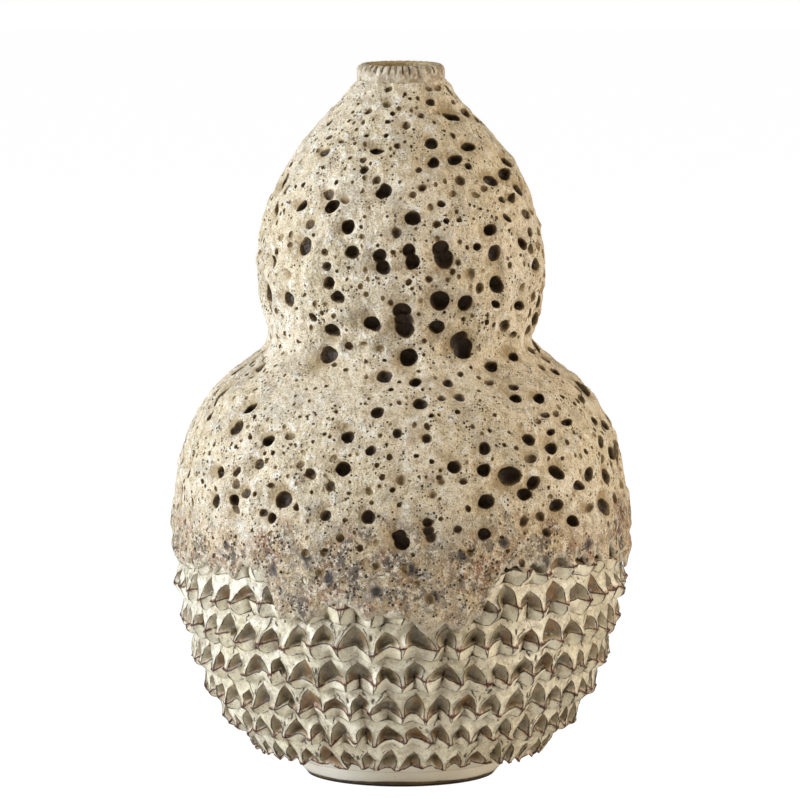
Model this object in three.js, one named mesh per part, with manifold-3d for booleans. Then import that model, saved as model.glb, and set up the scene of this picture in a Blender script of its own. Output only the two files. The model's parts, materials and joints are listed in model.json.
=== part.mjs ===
// A gourd vase in stoneware, about 40 cm tall. Two thrown bulbs stand one on the other.
// A belt of pinched thorns goes round the lower bulb, and bubble craters cover the rest.
// Lengths are in millimetres and +Z is up. The origin is the middle of the standing face.
// The front faces -Y. An azimuth is in degrees from the front, positive towards +X.

import * as THREE from 'three';
import { mergeVertices } from 'three/addons/utils/BufferGeometryUtils.js';
import Module from 'manifold-3d';

const wasm = await Module();
wasm.setup();

// Foot and floor
const footRadius = 53;
const footTopRadius = 59;
const footHeight = 9;
const footFlareAtMiddle = 0.75;
const footRingWidth = 10;
const footBevel = 0.8;
const undersideRecess = 5;
const floorThickness = 9;
const floorSeatWidth = 7;

// Lower bulb: its outline below the belly is a quarter of an ellipse
const bellyRadius = 130.5;
const bellyHeight = 138;
const bellyRootRadius = 56;
const bellyRootHeight = 5;

// Belt of thorns, from its lowest edge to the crater glaze
const beltBottomHeight = 12;
const beltTopHeight = 142;
const thornCourses = 7;
const thornsInTopCourse = 46;
const thornsInBottomCourse = 38;
const thornHeight = 9;
const hollowHeight = 1.5;
const hollowLipHeight = 5.5;
const ledgeHeight = 2;

// Waist, upper bulb, neck and lip
const waistRadius = 74.8;
const waistHeight = 245;
const upperRadius = 81.4;
const upperWidestAboveWaist = 39;
const upperSeamAboveWidest = 6;
const neckLength = 19;
const neckRadius = 27;
const vaseHeight = 400;
const lipHeight = 9;
const lipRadius = 25.4;
const lipRounding = 3.4;
const mouthRadius = 18.2;
const nickCount = 26;
const nickDepth = 1.1;

// Clay: the wall, the crater glaze on it, and the joints between the thrown parts
const wallThickness = 7;
const crustThickness = 3;
const jointGap = 0.3;
const scarfHeight = 4;
const facets = 40;

// Craters
const craterDepth = 6;
const craterSides = 6;
const craterRings = 4;
const scatteredCraters = 60;
const scatteredWidth = 9;
const cratersLeftOf = 68;

// Rings between the waist and the lip
const upperHeight = waistHeight + upperWidestAboveWaist;
const upperSeamHeight = upperHeight + upperSeamAboveWidest;
const neckHeight = vaseHeight - lipHeight;
const neckSeamHeight = neckHeight - neckLength;
const radians = THREE.MathUtils.degToRad;

// The outline above the belt: shares of the height and of the radius between two rings
const shoulderShape = [[0.2, 0.966], [0.41, 0.889], [0.6, 0.718], [0.76, 0.506], [0.88, 0.219]];
const upperBowlShape = [[0.38, 0.47]];
const domeShape = [[0.26, 0.937], [0.49, 0.763], [0.67, 0.533], [0.81, 0.276], [0.93, 0.07]];

function between(shape, [lowHeight, lowRadius], [highHeight, highRadius]) {
  return shape.map(([up, share]) => new THREE.Vector2(
    highRadius < lowRadius
      ? THREE.MathUtils.lerp(highRadius, lowRadius, share)
      : THREE.MathUtils.lerp(lowRadius, highRadius, share),
    THREE.MathUtils.lerp(lowHeight, highHeight, up),
  ));
}

const upperOutline = new THREE.SplineCurve([
  new THREE.Vector2(bellyRadius, bellyHeight),
  new THREE.Vector2(bellyRadius, beltTopHeight),
  ...between(shoulderShape, [beltTopHeight, bellyRadius], [waistHeight, waistRadius]),
  new THREE.Vector2(waistRadius, waistHeight),
  ...between(upperBowlShape, [waistHeight, waistRadius], [upperHeight, upperRadius]),
  new THREE.Vector2(upperRadius, upperHeight),
  ...between(domeShape, [upperHeight, upperRadius], [neckHeight, neckRadius]),
  new THREE.Vector2(neckRadius, neckHeight),
]).getPoints(600);

// Outer radius of the glazed body at a height above the belt
function outerRadius(height) {
  const above = upperOutline.findIndex((point) => point.y >= height);
  if (above < 1) return above === 0 ? bellyRadius : neckRadius;
  const low = upperOutline[above - 1];
  const high = upperOutline[above];
  const share = (height - low.y) / (high.y - low.y);
  return THREE.MathUtils.lerp(low.x, high.x, share);
}

function outlineSlope(height) {
  const reach = 3;
  return (outerRadius(height + reach) - outerRadius(height - reach)) / (2 * reach);
}

// Inner radius at a height: the wall and its glaze are measured square to the outline
function innerRadius(height) {
  const thickness = (wallThickness + crustThickness) * Math.hypot(1, outlineSlope(height));
  return Math.max(outerRadius(height) - thickness, mouthRadius);
}

// A point of the belly's ellipse, where the thorns' tips lie, and its outward normal
function bellyPoint(angle) {
  const width = bellyRadius - bellyRootRadius;
  const drop = bellyHeight - bellyRootHeight;
  const point = new THREE.Vector2(
    bellyRootRadius + width * Math.cos(angle),
    bellyHeight - drop * Math.sin(angle),
  );
  const normal = new THREE.Vector2(drop * Math.cos(angle), -width * Math.sin(angle)).normalize();
  return { point, normal };
}

function bellyAngle(height) {
  return Math.asin((bellyHeight - height) / (bellyHeight - bellyRootHeight));
}

// The edges between the thorn courses, evenly spaced along the outline from the foot up.
// Each has its point on the bare wall and the outward normal there.
function courseEdges() {
  const steps = 400;
  const start = bellyAngle(beltBottomHeight);
  const end = bellyAngle(beltTopHeight);
  const line = Array.from({ length: steps + 1 }, (_, i) => (
    bellyPoint(THREE.MathUtils.lerp(start, end, i / steps))
  ));
  const lengths = [0];
  for (let i = 1; i <= steps; i += 1) {
    lengths.push(lengths[i - 1] + line[i].point.distanceTo(line[i - 1].point));
  }
  return Array.from({ length: thornCourses + 1 }, (_, course) => {
    const wanted = (lengths[steps] * course) / thornCourses;
    const { point, normal } = line[lengths.findIndex((length) => length >= wanted - 1e-6)];
    return { wall: point.clone().addScaledVector(normal, -thornHeight), normal };
  });
}

const edges = courseEdges();
const bowlTop = edges[thornCourses];

function bowlInnerPoint(edge) {
  return [edge.wall.x - wallThickness * edge.normal.x, edge.wall.y - wallThickness * edge.normal.y];
}

const bowlTopInner = bowlInnerPoint(bowlTop);

// A closed body that goes once round the axis. sectionAt(i) gives the section at station i as
// points [radius, height], up the outside and down the inside.
function roundBody(stations, sectionAt) {
  const sections = Array.from({ length: stations }, (_, i) => sectionAt(i));
  const size = sections[0].length;
  const positions = [];
  const index = [];
  sections.forEach((section, i) => {
    const angle = (2 * Math.PI * i) / stations;
    const next = (i + 1) % stations;
    section.forEach(([radius, height], j) => {
      positions.push(radius * Math.sin(angle), -radius * Math.cos(angle), height);
      const up = (j + 1) % size;
      const corner = i * size + j;
      const above = i * size + up;
      const beside = next * size + j;
      const across = next * size + up;
      index.push(corner, beside, above, above, beside, across);
    });
  });
  const geometry = new THREE.BufferGeometry();
  geometry.setAttribute('position', new THREE.Float32BufferAttribute(positions, 3));
  geometry.setIndex(index);
  return geometry;
}

function solidOf(geometry) {
  const plain = geometry.clone();
  plain.deleteAttribute('normal');
  plain.deleteAttribute('uv');
  const merged = mergeVertices(plain, 1e-5);
  return new wasm.Manifold(new wasm.Mesh({
    numProp: 3,
    vertProperties: new Float32Array(merged.attributes.position.array),
    triVerts: new Uint32Array(merged.index.array),
  }));
}

function geometryOf(solid) {
  const mesh = solid.getMesh();
  const geometry = new THREE.BufferGeometry();
  geometry.setAttribute('position', new THREE.BufferAttribute(mesh.vertProperties, mesh.numProp));
  geometry.setIndex(new THREE.BufferAttribute(mesh.triVerts, 1));
  return geometry;
}

// Craters seen from the front: azimuth, height of the middle, width, height of the hole
const frontCraters = [
  [47, 366, 8, 7], [19, 360, 7, 7], [44, 358, 9, 6], [31, 351, 9, 7], [18, 350, 7, 7],
  [65, 341, 12, 6], [30, 340, 7, 6], [50, 339, 10, 7], [-8, 335, 8, 8], [-35, 332, 7, 6],
  [-32, 326, 9, 8], [-49, 325, 9, 6], [5, 321, 8, 8], [-23, 316, 9, 8], [-41, 316, 7, 6],
  [40, 313, 9, 7], [-43, 304, 11, 10], [60, 303, 9, 7], [-20, 302, 8, 7], [17, 301, 10, 15],
  [4, 300, 8, 15], [41, 300, 9, 10], [-8, 297, 8, 14], [28, 289, 6, 7], [-30, 284, 8, 7],
  [42, 282, 9, 9], [-26, 276, 8, 7], [16, 275, 10, 10], [27, 273, 8, 9], [-52, 273, 10, 8],
  [59, 268, 10, 5], [1, 264, 10, 21], [-12, 262, 10, 8], [15, 260, 9, 8], [49, 258, 6, 8],
  [-30, 257, 9, 8], [27, 249, 11, 15], [-33, 244, 12, 10], [3, 244, 10, 10], [55, 241, 11, 6],
  [39, 238, 9, 7], [-6, 235, 8, 8], [5, 232, 7, 7], [6, 222, 8, 8], [39, 222, 9, 7],
  [49, 221, 9, 6], [-7, 217, 7, 7], [-51, 215, 9, 6], [-53, 205, 11, 7], [-15, 204, 8, 7],
  [37, 201, 8, 7], [-39, 200, 9, 7], [23, 198, 7, 7], [44, 195, 9, 7], [36, 191, 8, 6],
  [14, 189, 8, 7], [-15, 188, 8, 8], [-40, 187, 8, 6], [22, 186, 8, 7], [29, 183, 12, 10],
  [44, 182, 10, 7], [-54, 180, 10, 6], [36, 178, 9, 7], [57, 178, 8, 7], [33, 172, 9, 7],
  [-43, 171, 8, 6], [-31, 169, 11, 9], [22, 169, 9, 8], [-47, 166, 9, 6], [-54, 164, 8, 8],
  [43, 164, 10, 7], [-8, 162, 7, 7], [55, 160, 9, 5], [64, 158, 12, 9], [7, 155, 6, 14],
  [49, 154, 9, 6], [21, 152, 7, 7], [0, 151, 8, 11],
];

// Craters on the sides and back, spread evenly by steps that never fall into line
function backCraters() {
  const aroundStep = 0.7548777;
  const heightStep = 0.5698403;
  const lowest = beltTopHeight + 2 * scatteredWidth;
  const highest = neckSeamHeight - scatteredWidth;
  return Array.from({ length: scatteredCraters }, (_, i) => {
    const around = (0.5 + i * aroundStep) % 1;
    const up = (0.5 + i * heightStep) % 1;
    const azimuth = cratersLeftOf + around * (360 - 2 * cratersLeftOf);
    const tall = scatteredWidth * (0.8 + 0.5 * around);
    return [azimuth, THREE.MathUtils.lerp(lowest, highest, up), scatteredWidth, tall];
  });
}

const craters = [...frontCraters, ...backCraters()];

// The hollow of one crater: half of a lens that stands square to the outline
function craterHollow([azimuth, height, width, tall]) {
  const lens = new THREE.SphereGeometry(1, craterSides, craterRings);
  lens.scale(width / 2, Math.min(craterDepth, 0.8 * width), tall / 2);
  const lean = Math.atan(outlineSlope(height));
  lens.rotateX(lean);
  lens.translate(0, -outerRadius(height), height);
  lens.rotateZ(radians(azimuth));
  return solidOf(lens);
}

function withCraters(geometry, lowest, highest) {
  let solid = solidOf(geometry);
  craters
    .filter(([, height, , tall]) => height + tall > lowest && height - tall < highest)
    .forEach((crater) => { solid = solid.subtract(craterHollow(crater)); });
  return geometryOf(solid);
}

// One thrown part between two seams. A scarf rises inwards at each seam and centres the parts.
// innerStart is the inner corner where the part below is thicker than the wall.
function thrownPart(heights, innerHeights, innerStart) {
  const bottom = heights[0] + jointGap;
  const top = heights[heights.length - 1];
  const middle = heights.slice(1, -1);
  const outside = [bottom, ...middle, top].map((height) => [outerRadius(height), height]);
  const highInside = [innerRadius(top + scarfHeight), top + scarfHeight];
  const inside = innerHeights.map((height) => [innerRadius(height), height]);
  const lowInside = innerStart
    ?? [[innerRadius(heights[0] + scarfHeight), bottom + scarfHeight]];
  const section = [...outside, highInside, ...inside, ...lowInside];
  return roundBody(facets, () => section);
}

// The foot rounds outwards: at half its height it has most of its flare
function footRing() {
  const inner = footRadius - footRingWidth;
  const middleRadius = THREE.MathUtils.lerp(footRadius, footTopRadius, footFlareAtMiddle);
  const section = [
    [footRadius - footBevel, 0],
    [footRadius, footBevel],
    [middleRadius, footHeight / 2],
    [footTopRadius, footHeight],
    [inner, footHeight],
    [inner, 0],
  ];
  return roundBody(facets, () => section);
}

const floorRadius = footTopRadius + jointGap - floorSeatWidth;
const floorTop = footHeight + jointGap + floorThickness;

// The floor hangs into the foot ring by a spigot and rests on the ring by its flange
function baseFloor() {
  const spigotRadius = footRadius - footRingWidth - jointGap;
  const profile = [
    [0, undersideRecess],
    [spigotRadius, undersideRecess],
    [spigotRadius, footHeight + jointGap],
    [floorRadius - jointGap, footHeight + jointGap],
    [floorRadius - jointGap, floorTop],
    [0, floorTop],
  ].map(([radius, height]) => new THREE.Vector2(radius, height));
  const geometry = new THREE.LatheGeometry(profile, facets);
  geometry.rotateX(Math.PI / 2);
  return geometry;
}

function lowerBowl() {
  const seat = footHeight + jointGap;
  const wall = edges.map((edge) => [edge.wall.x, edge.wall.y]);
  const inside = edges.filter((_, i) => i < 2 || i % 2 === 1).slice(0, -1).reverse();
  const section = [
    [footTopRadius, seat],
    ...wall,
    [bowlTopInner[0], bowlTopInner[1] + scarfHeight],
    ...inside.map(bowlInnerPoint),
    [floorRadius, floorTop + jointGap],
    [floorRadius, seat],
  ];
  return roundBody(facets, () => section);
}

// One course of pinched clay. Stations alternate between a thorn and the hollow beside it.
function thornCourse(course) {
  const low = edges[course];
  const high = edges[course + 1];
  const pitch = low.wall.distanceTo(high.wall);
  const share = (thornCourses - 1 - course) / (thornCourses - 1);
  const thorns = Math.round(THREE.MathUtils.lerp(thornsInTopCourse, thornsInBottomCourse, share));
  const stations = 2 * thorns;
  const clear = 1 / Math.cos(Math.PI / stations);
  const top = 1 - jointGap / pitch;
  const place = ([out, up]) => {
    const foot = low.wall.clone().lerp(high.wall, up);
    const normal = low.normal.clone().lerp(high.normal, up).normalize();
    foot.addScaledVector(normal, out);
    return [foot.x * clear, foot.y];
  };
  const back = [[jointGap, top], [jointGap, 0]];
  const thorn = [[thornHeight, 0.43], [0.6 * thornHeight, 0.7], [ledgeHeight, top], ...back];
  const hollow = [[hollowLipHeight, 0.38], [hollowHeight, 0.6], [ledgeHeight, top], ...back];
  return roundBody(stations, (i) => (i % 2 === 0 ? thorn : hollow).map(place));
}

function lowerShoulder() {
  const seam = beltTopHeight + jointGap;
  const shelf = [bowlTop.wall.x, seam];
  const corner = [bowlTopInner[0], bowlTopInner[1] + scarfHeight + jointGap];
  const rise = waistHeight - beltTopHeight;
  const heights = [0, ...shoulderShape.map(([up]) => up), 1].map((up) => beltTopHeight + up * rise);
  const innerHeights = [0.88, 0.6, 0.22].map((up) => beltTopHeight + up * rise);
  const body = thrownPart(heights, innerHeights, [corner, shelf]);
  return withCraters(body, beltTopHeight, waistHeight + scarfHeight);
}

function upperBowl() {
  const rise = upperSeamHeight - waistHeight;
  const heights = [0, 0.33, 0.67, 1].map((up) => waistHeight + up * rise);
  const body = thrownPart(heights, [waistHeight + 0.53 * rise]);
  return withCraters(body, waistHeight, upperSeamHeight + scarfHeight);
}

function upperDome() {
  const rise = neckSeamHeight - upperSeamHeight;
  const heights = [0, 0.27, 0.54, 0.8, 1].map((up) => upperSeamHeight + up * rise);
  const body = thrownPart(heights, [0.8, 0.45].map((up) => upperSeamHeight + up * rise));
  return withCraters(body, upperSeamHeight, neckSeamHeight);
}

function neck() {
  const bottom = neckSeamHeight + jointGap;
  const waist = (neckSeamHeight + neckHeight) / 2;
  const section = [
    [outerRadius(bottom), bottom],
    [outerRadius(waist), waist],
    [neckRadius, neckHeight],
    [mouthRadius, neckHeight],
    [innerRadius(neckSeamHeight + scarfHeight), bottom + scarfHeight],
  ];
  return roundBody(facets, () => section);
}

// The lip is cut all round by small radial nicks
function notchedLip() {
  const seat = neckHeight + jointGap;
  const inside = [[mouthRadius, vaseHeight - nickDepth], [mouthRadius, seat]];
  const land = [
    [lipRadius, seat],
    [lipRadius, vaseHeight - lipRounding],
    [lipRadius - lipRounding, vaseHeight],
  ];
  const nick = [
    [lipRadius - nickDepth / 2, seat],
    [lipRadius - nickDepth, vaseHeight - lipRounding - nickDepth],
    [lipRadius - lipRounding - nickDepth, vaseHeight - nickDepth],
  ];
  return roundBody(2 * nickCount, (i) => [...(i % 2 === 0 ? land : nick), ...inside]);
}

// Finishes, as colour, roughness
const craterGlaze = ['#d8ccb2', 0.75];
const thornGlaze = ['#cfc5ae', 0.3];
const footGlaze = ['#c6bda8', 0.25];
const bareClay = ['#8a7048', 0.85];
const linerGlaze = ['#b79a5c', 0.4];

const vase = new THREE.Group();

function addPart(name, geometry, [color, roughness]) {
  const material = new THREE.MeshStandardMaterial({ color, roughness, metalness: 0 });
  const mesh = new THREE.Mesh(geometry, material);
  mesh.name = name;
  vase.add(mesh);
}

addPart('foot_ring', footRing(), footGlaze);
addPart('base_floor', baseFloor(), bareClay);
addPart('lower_bowl', lowerBowl(), linerGlaze);
for (let course = 0; course < thornCourses; course += 1) {
  addPart(`thorn_course_${course + 1}`, thornCourse(course), thornGlaze);
}
addPart('lower_shoulder', lowerShoulder(), craterGlaze);
addPart('upper_bowl', upperBowl(), craterGlaze);
addPart('upper_dome', upperDome(), craterGlaze);
addPart('neck', neck(), craterGlaze);
addPart('notched_lip', notchedLip(), craterGlaze);

export default vase;
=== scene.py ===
# %% [markdown]
# # A gourd vase in crater glaze
# This lesson dresses a stoneware vase of two bulbs. The upper two thirds carry a thick cream
# glaze full of burst bubbles, the lower third a belt of pinched thorns under a glossy glaze, and
# the whole stands on a low glazed foot. The frame holds the plain solids of the vase at their
# real size, and every piece made here stands where one of those solids stands.
# Lengths in the modelling cells are in millimetres, because a potter measures in them, and they
# become Blender's metres only when a mesh gets its points.

# %% Load the frame
import itertools
import json
import math
import bpy
import numpy as np
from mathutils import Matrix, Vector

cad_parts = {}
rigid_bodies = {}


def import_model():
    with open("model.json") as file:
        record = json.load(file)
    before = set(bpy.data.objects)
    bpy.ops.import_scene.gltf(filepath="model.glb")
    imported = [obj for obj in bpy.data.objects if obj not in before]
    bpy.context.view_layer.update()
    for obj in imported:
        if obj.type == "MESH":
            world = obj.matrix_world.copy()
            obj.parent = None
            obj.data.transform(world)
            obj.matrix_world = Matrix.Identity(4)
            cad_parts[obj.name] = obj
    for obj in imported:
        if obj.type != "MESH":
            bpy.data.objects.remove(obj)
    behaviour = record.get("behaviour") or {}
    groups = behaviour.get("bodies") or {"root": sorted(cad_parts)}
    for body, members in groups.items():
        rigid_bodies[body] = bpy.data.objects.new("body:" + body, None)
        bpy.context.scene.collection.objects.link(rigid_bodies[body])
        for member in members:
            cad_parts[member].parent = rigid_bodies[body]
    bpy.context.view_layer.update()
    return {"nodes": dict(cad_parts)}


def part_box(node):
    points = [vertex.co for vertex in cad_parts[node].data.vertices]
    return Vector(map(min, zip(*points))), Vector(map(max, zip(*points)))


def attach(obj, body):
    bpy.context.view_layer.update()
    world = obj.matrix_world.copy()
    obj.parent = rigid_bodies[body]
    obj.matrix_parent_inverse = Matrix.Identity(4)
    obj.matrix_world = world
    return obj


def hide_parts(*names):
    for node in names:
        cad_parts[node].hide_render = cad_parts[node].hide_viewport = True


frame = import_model()
MM = 0.001
print("solids in the frame:", ", ".join(sorted(frame["nodes"])))

# %% [markdown]
# ## Camera, light and floor
# The vase is photographed from about four metres with a long lens, a little above its lip, so
# the mouth is a thin ellipse and the foot a rounder one. Two large soft lamps stand left and
# right, which leaves the middle of the vase a little darker than its sides. The floor and the
# world look white to the camera only, so they add no light, and the floor keeps the shadow.

# %% Camera
PHOTO_WIDTH = 800
CAMERA_DISTANCE = 3890
CAMERA_HEIGHT = 692
AIM_HEIGHT = 211
AIM_SIDE = -0.5
FOCAL_PIXELS = 6986
SENSOR_WIDTH = 36.0


def aim(thing, target):
    """Turns a camera or lamp so that it looks at a point."""
    direction = [b - a for a, b in zip(thing.location, target)]
    flat = math.hypot(*direction[:2])
    thing.rotation_euler = (
        math.pi / 2 + math.atan2(direction[2], flat),
        0,
        math.atan2(direction[1], direction[0]) - math.pi / 2,
    )


bpy.ops.object.select_all(action="DESELECT")
bpy.ops.object.camera_add(location=(AIM_SIDE * MM, -CAMERA_DISTANCE * MM, CAMERA_HEIGHT * MM))
camera = bpy.context.object
camera.data.sensor_width = SENSOR_WIDTH
camera.data.lens = SENSOR_WIDTH * FOCAL_PIXELS / PHOTO_WIDTH
aim(camera, (AIM_SIDE * MM, 0, AIM_HEIGHT * MM))
bpy.context.scene.camera = camera
bpy.context.scene.view_settings.view_transform = "Standard"
print("lens", round(camera.data.lens, 1), "mm")


# %% Lamps
LAMP_TARGET = (0, 0, 0.2)


def soft_lamp(name, place, size, watts, color):
    """A rectangular lamp, its place and size in metres, turned to the middle of the vase."""
    bpy.ops.object.light_add(type="AREA", location=place)
    lamp = bpy.context.object
    lamp.name = name
    lamp.data.shape = "RECTANGLE"
    lamp.data.size, lamp.data.size_y = size
    lamp.data.energy = watts
    lamp.data.color = color
    aim(lamp, LAMP_TARGET)


soft_lamp("left_lamp", (-1.5, -0.45, 0.75), (0.5, 1.1), 31, (1.0, 1.11, 1.3))
soft_lamp("right_lamp", (1.5, -0.4, 0.65), (0.5, 1.1), 19.5, (1.0, 0.93, 0.85))
soft_lamp("top_lamp", (0.0, -0.6, 1.7), (0.6, 0.6), 4.5, (1.0, 0.94, 0.84))
soft_lamp("front_lamp", (-0.5, -2.4, 1.3), (0.5, 0.5), 2, (1.0, 0.93, 0.82))


# %% Colours
def srgb(code):
    """A colour written as #rrggbb, as the linear colour that shaders take."""
    values = [int(code[i:i + 2], 16) / 255 for i in (1, 3, 5)]
    linear = [v / 12.92 if v <= 0.04045 else ((v + 0.055) / 1.055) ** 2.4 for v in values]
    return (*linear, 1.0)


print("middle grey", [round(v, 3) for v in srgb("#808080")])

# %% World
AMBIENT = 0.05

world = bpy.data.worlds.new("studio")
bpy.context.scene.world = world
world.use_nodes = True
tree = world.node_tree
rays = tree.nodes.new("ShaderNodeLightPath")
background = tree.nodes["Background"]
level = tree.nodes.new("ShaderNodeMapRange")
level.inputs["To Min"].default_value = AMBIENT
level.inputs["To Max"].default_value = 1.0
tree.links.new(rays.outputs["Is Camera Ray"], level.inputs["Value"])
tree.links.new(level.outputs[0], background.inputs["Strength"])
background.inputs["Color"].default_value = (1, 1, 1, 1)
print("the world lights the vase with", AMBIENT, "and looks white")

# %% Floor
SHADOW_SHARE = 0.12
FLOOR_SIZE = 12
FLOOR_GLOW = 1.12

bpy.ops.mesh.primitive_plane_add(size=FLOOR_SIZE, location=(0, 0, 0))
floor = bpy.context.object
floor.name = "studio_floor"
floor_material = bpy.data.materials.new("white_floor")
floor_material.use_nodes = True
tree = floor_material.node_tree
paint = tree.nodes["Principled BSDF"]
paint.inputs["Base Color"].default_value = srgb("#f4f3f0")
paint.inputs["Roughness"].default_value = 0.9
glow = tree.nodes.new("ShaderNodeEmission")
glow.inputs["Strength"].default_value = FLOOR_GLOW
rays = tree.nodes.new("ShaderNodeLightPath")
share = tree.nodes.new("ShaderNodeMath")
share.operation = "MULTIPLY"
share.inputs[1].default_value = 1 - SHADOW_SHARE
mixer = tree.nodes.new("ShaderNodeMixShader")
tree.links.new(rays.outputs["Is Camera Ray"], share.inputs[0])
tree.links.new(share.outputs[0], mixer.inputs[0])
tree.links.new(paint.outputs[0], mixer.inputs[1])
tree.links.new(glow.outputs[0], mixer.inputs[2])
tree.links.new(mixer.outputs[0], tree.nodes["Material Output"].inputs["Surface"])
floor.data.materials.append(floor_material)
print("the floor is white to the camera, less", SHADOW_SHARE, "for the shadow")

# %% [markdown]
# ## The outline
# A thrown pot is known by its outline. Below the belly it is a quarter of an ellipse, and above
# it one smooth line runs through a few rings: shoulder, waist, upper bulb and neck. The rings
# come from the boxes of the frame's solids, and the line between them from a few shares.

# %% Rings from the frame
def top_of(node):
    return np.array(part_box(node)[1]) / MM


def bottom_of(node):
    return np.array(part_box(node)[0]) / MM


SCARF = 4.0
BELLY_RADIUS = float(top_of("lower_shoulder")[0])
BELLY_HEIGHT = 138.0
ROOT_RADIUS = 56.0
ROOT_HEIGHT = 5.0
BELT_TOP = float(bottom_of("lower_shoulder")[2])
WAIST_HEIGHT = float(top_of("lower_shoulder")[2]) - SCARF
WAIST_RADIUS = 74.8
UPPER_RADIUS = float(top_of("upper_dome")[0])
UPPER_HEIGHT = 284.0
UPPER_SEAM = float(bottom_of("upper_dome")[2])
NECK_SEAM = float(bottom_of("neck")[2])
NECK_HEIGHT = float(top_of("neck")[2])
NECK_RADIUS = 27.0
VASE_HEIGHT = float(top_of("notched_lip")[2])
LIP_RADIUS = float(top_of("notched_lip")[0])
MOUTH_RADIUS = 18.2
FOOT_RADIUS = 53.0
FOOT_TOP_RADIUS = float(top_of("foot_ring")[0])
FOOT_HEIGHT = float(top_of("foot_ring")[2])
SHELL = 10.0

SHOULDER_SHAPE = [(0.2, 0.966), (0.41, 0.889), (0.6, 0.718), (0.76, 0.506), (0.88, 0.219)]
UPPER_BOWL_SHAPE = [(0.38, 0.47)]
DOME_SHAPE = [(0.26, 0.937), (0.49, 0.763), (0.67, 0.533), (0.81, 0.276), (0.93, 0.07)]
print("belly radius", round(BELLY_RADIUS, 1), "waist at", round(WAIST_HEIGHT, 1))


# %% One smooth line through the rings
def between(shape, low, high):
    """Points between two rings, each a share of the way up and of the way out."""
    narrow, wide = sorted((low[1], high[1]))
    return [(low[0] + up * (high[0] - low[0]), narrow + out * (wide - narrow)) for up, out in shape]


def smooth_through(points, steps=60):
    """A smooth curve through points, the same on each run."""
    line = np.array([points[0], *points, points[-1]], float)
    t = np.linspace(0, 1, steps, endpoint=False)[:, None]
    parts = []
    for a, b, c, d in zip(line, line[1:], line[2:], line[3:]):
        slope_in = (c - a) / 2
        slope_out = (d - b) / 2
        parts.append(
            (2 * t**3 - 3 * t**2 + 1) * b + (t**3 - 2 * t**2 + t) * slope_in
            + (3 * t**2 - 2 * t**3) * c + (t**3 - t**2) * slope_out
        )
    return np.vstack([*parts, line[-1:]])


print("an arc of three points gets", len(smooth_through([(0, 0), (1, 1), (2, 0)])), "points")

# %% The whole outline
belly = (BELT_TOP, BELLY_RADIUS)
waist = (WAIST_HEIGHT, WAIST_RADIUS)
widest = (UPPER_HEIGHT, UPPER_RADIUS)
neck_ring = (NECK_HEIGHT, NECK_RADIUS)
outline = smooth_through([
    (BELLY_HEIGHT, BELLY_RADIUS), belly, *between(SHOULDER_SHAPE, belly, waist),
    waist, *between(UPPER_BOWL_SHAPE, waist, widest),
    widest, *between(DOME_SHAPE, widest, neck_ring), neck_ring,
])
ROOT_HEIGHTS = np.linspace(ROOT_HEIGHT, BELLY_HEIGHT, 200)
root_radii = ROOT_RADIUS + (BELLY_RADIUS - ROOT_RADIUS) * np.sqrt(
    np.clip(1 - ((BELLY_HEIGHT - ROOT_HEIGHTS) / (BELLY_HEIGHT - ROOT_HEIGHT)) ** 2, 0, 1)
)
line_heights = np.concatenate([ROOT_HEIGHTS[:-1], outline[:, 0]])
line_radii = np.concatenate([root_radii[:-1], outline[:, 1]])


def outer_radius(height):
    return np.interp(height, line_heights, line_radii)


def outline_slope(height):
    return (outer_radius(height + 2) - outer_radius(height - 2)) / 4


for name, height in (("belly", BELLY_HEIGHT), ("waist", WAIST_HEIGHT), ("neck", NECK_HEIGHT)):
    print(name, "radius", round(float(outer_radius(height)), 1))


# %% [markdown]
# ## Noise for hand-made clay
# Nothing on a hand-built pot repeats exactly. A small smooth noise, made from whole-numbered
# cells, moves points and sizes by a few tenths of a millimetre. It is the same on every run.

# %% Noise
def cell_number(cells, seed):
    """A number from 0 to 1 for each whole-numbered cell."""
    x, y, z = (cells[..., i].astype(np.int64) for i in range(3))
    mixed = (x * 73856093) ^ (y * 19349663) ^ (z * 83492791) ^ (seed * 2654435761)
    mixed = ((mixed ^ (mixed >> 13)) * 1274126177) & 0xFFFFFFFF
    return ((mixed ^ (mixed >> 16)) & 0xFFFF) / 65535.0


def noise(points, size, seed):
    """Smooth noise from -1 to 1 with bumps about size across."""
    scaled = points / size
    cells = np.floor(scaled)
    part = scaled - cells
    part = part * part * (3 - 2 * part)
    total = np.zeros(points.shape[:-1])
    for corner in itertools.product((0, 1), repeat=3):
        weight = np.ones(points.shape[:-1])
        for axis, far in enumerate(corner):
            weight = weight * (part[..., axis] if far else 1 - part[..., axis])
        total += weight * cell_number(cells + np.array(corner), seed)
    return 2 * total - 1


def on_axis(radius, azimuth, height):
    """Points from radius, azimuth in radians from the front, and height."""
    radius, azimuth, height = np.broadcast_arrays(radius, azimuth, height)
    return np.stack([radius * np.sin(azimuth), -radius * np.cos(azimuth), height], axis=-1)


def step(low, high, value):
    """Rises smoothly from 0 at low to 1 at high."""
    share = np.clip((value - low) / (high - low), 0, 1)
    return share * share * (3 - 2 * share)


front = on_axis(BELLY_RADIUS, 0, BELLY_HEIGHT)
print("noise at the front of the belly", noise(front, 13, 2).round(2))


# %% [markdown]
# ## A short way to write shaders
# A shader's maths reads best as an expression. One small class wraps a socket so that plus, minus
# and times add the nodes.

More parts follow.
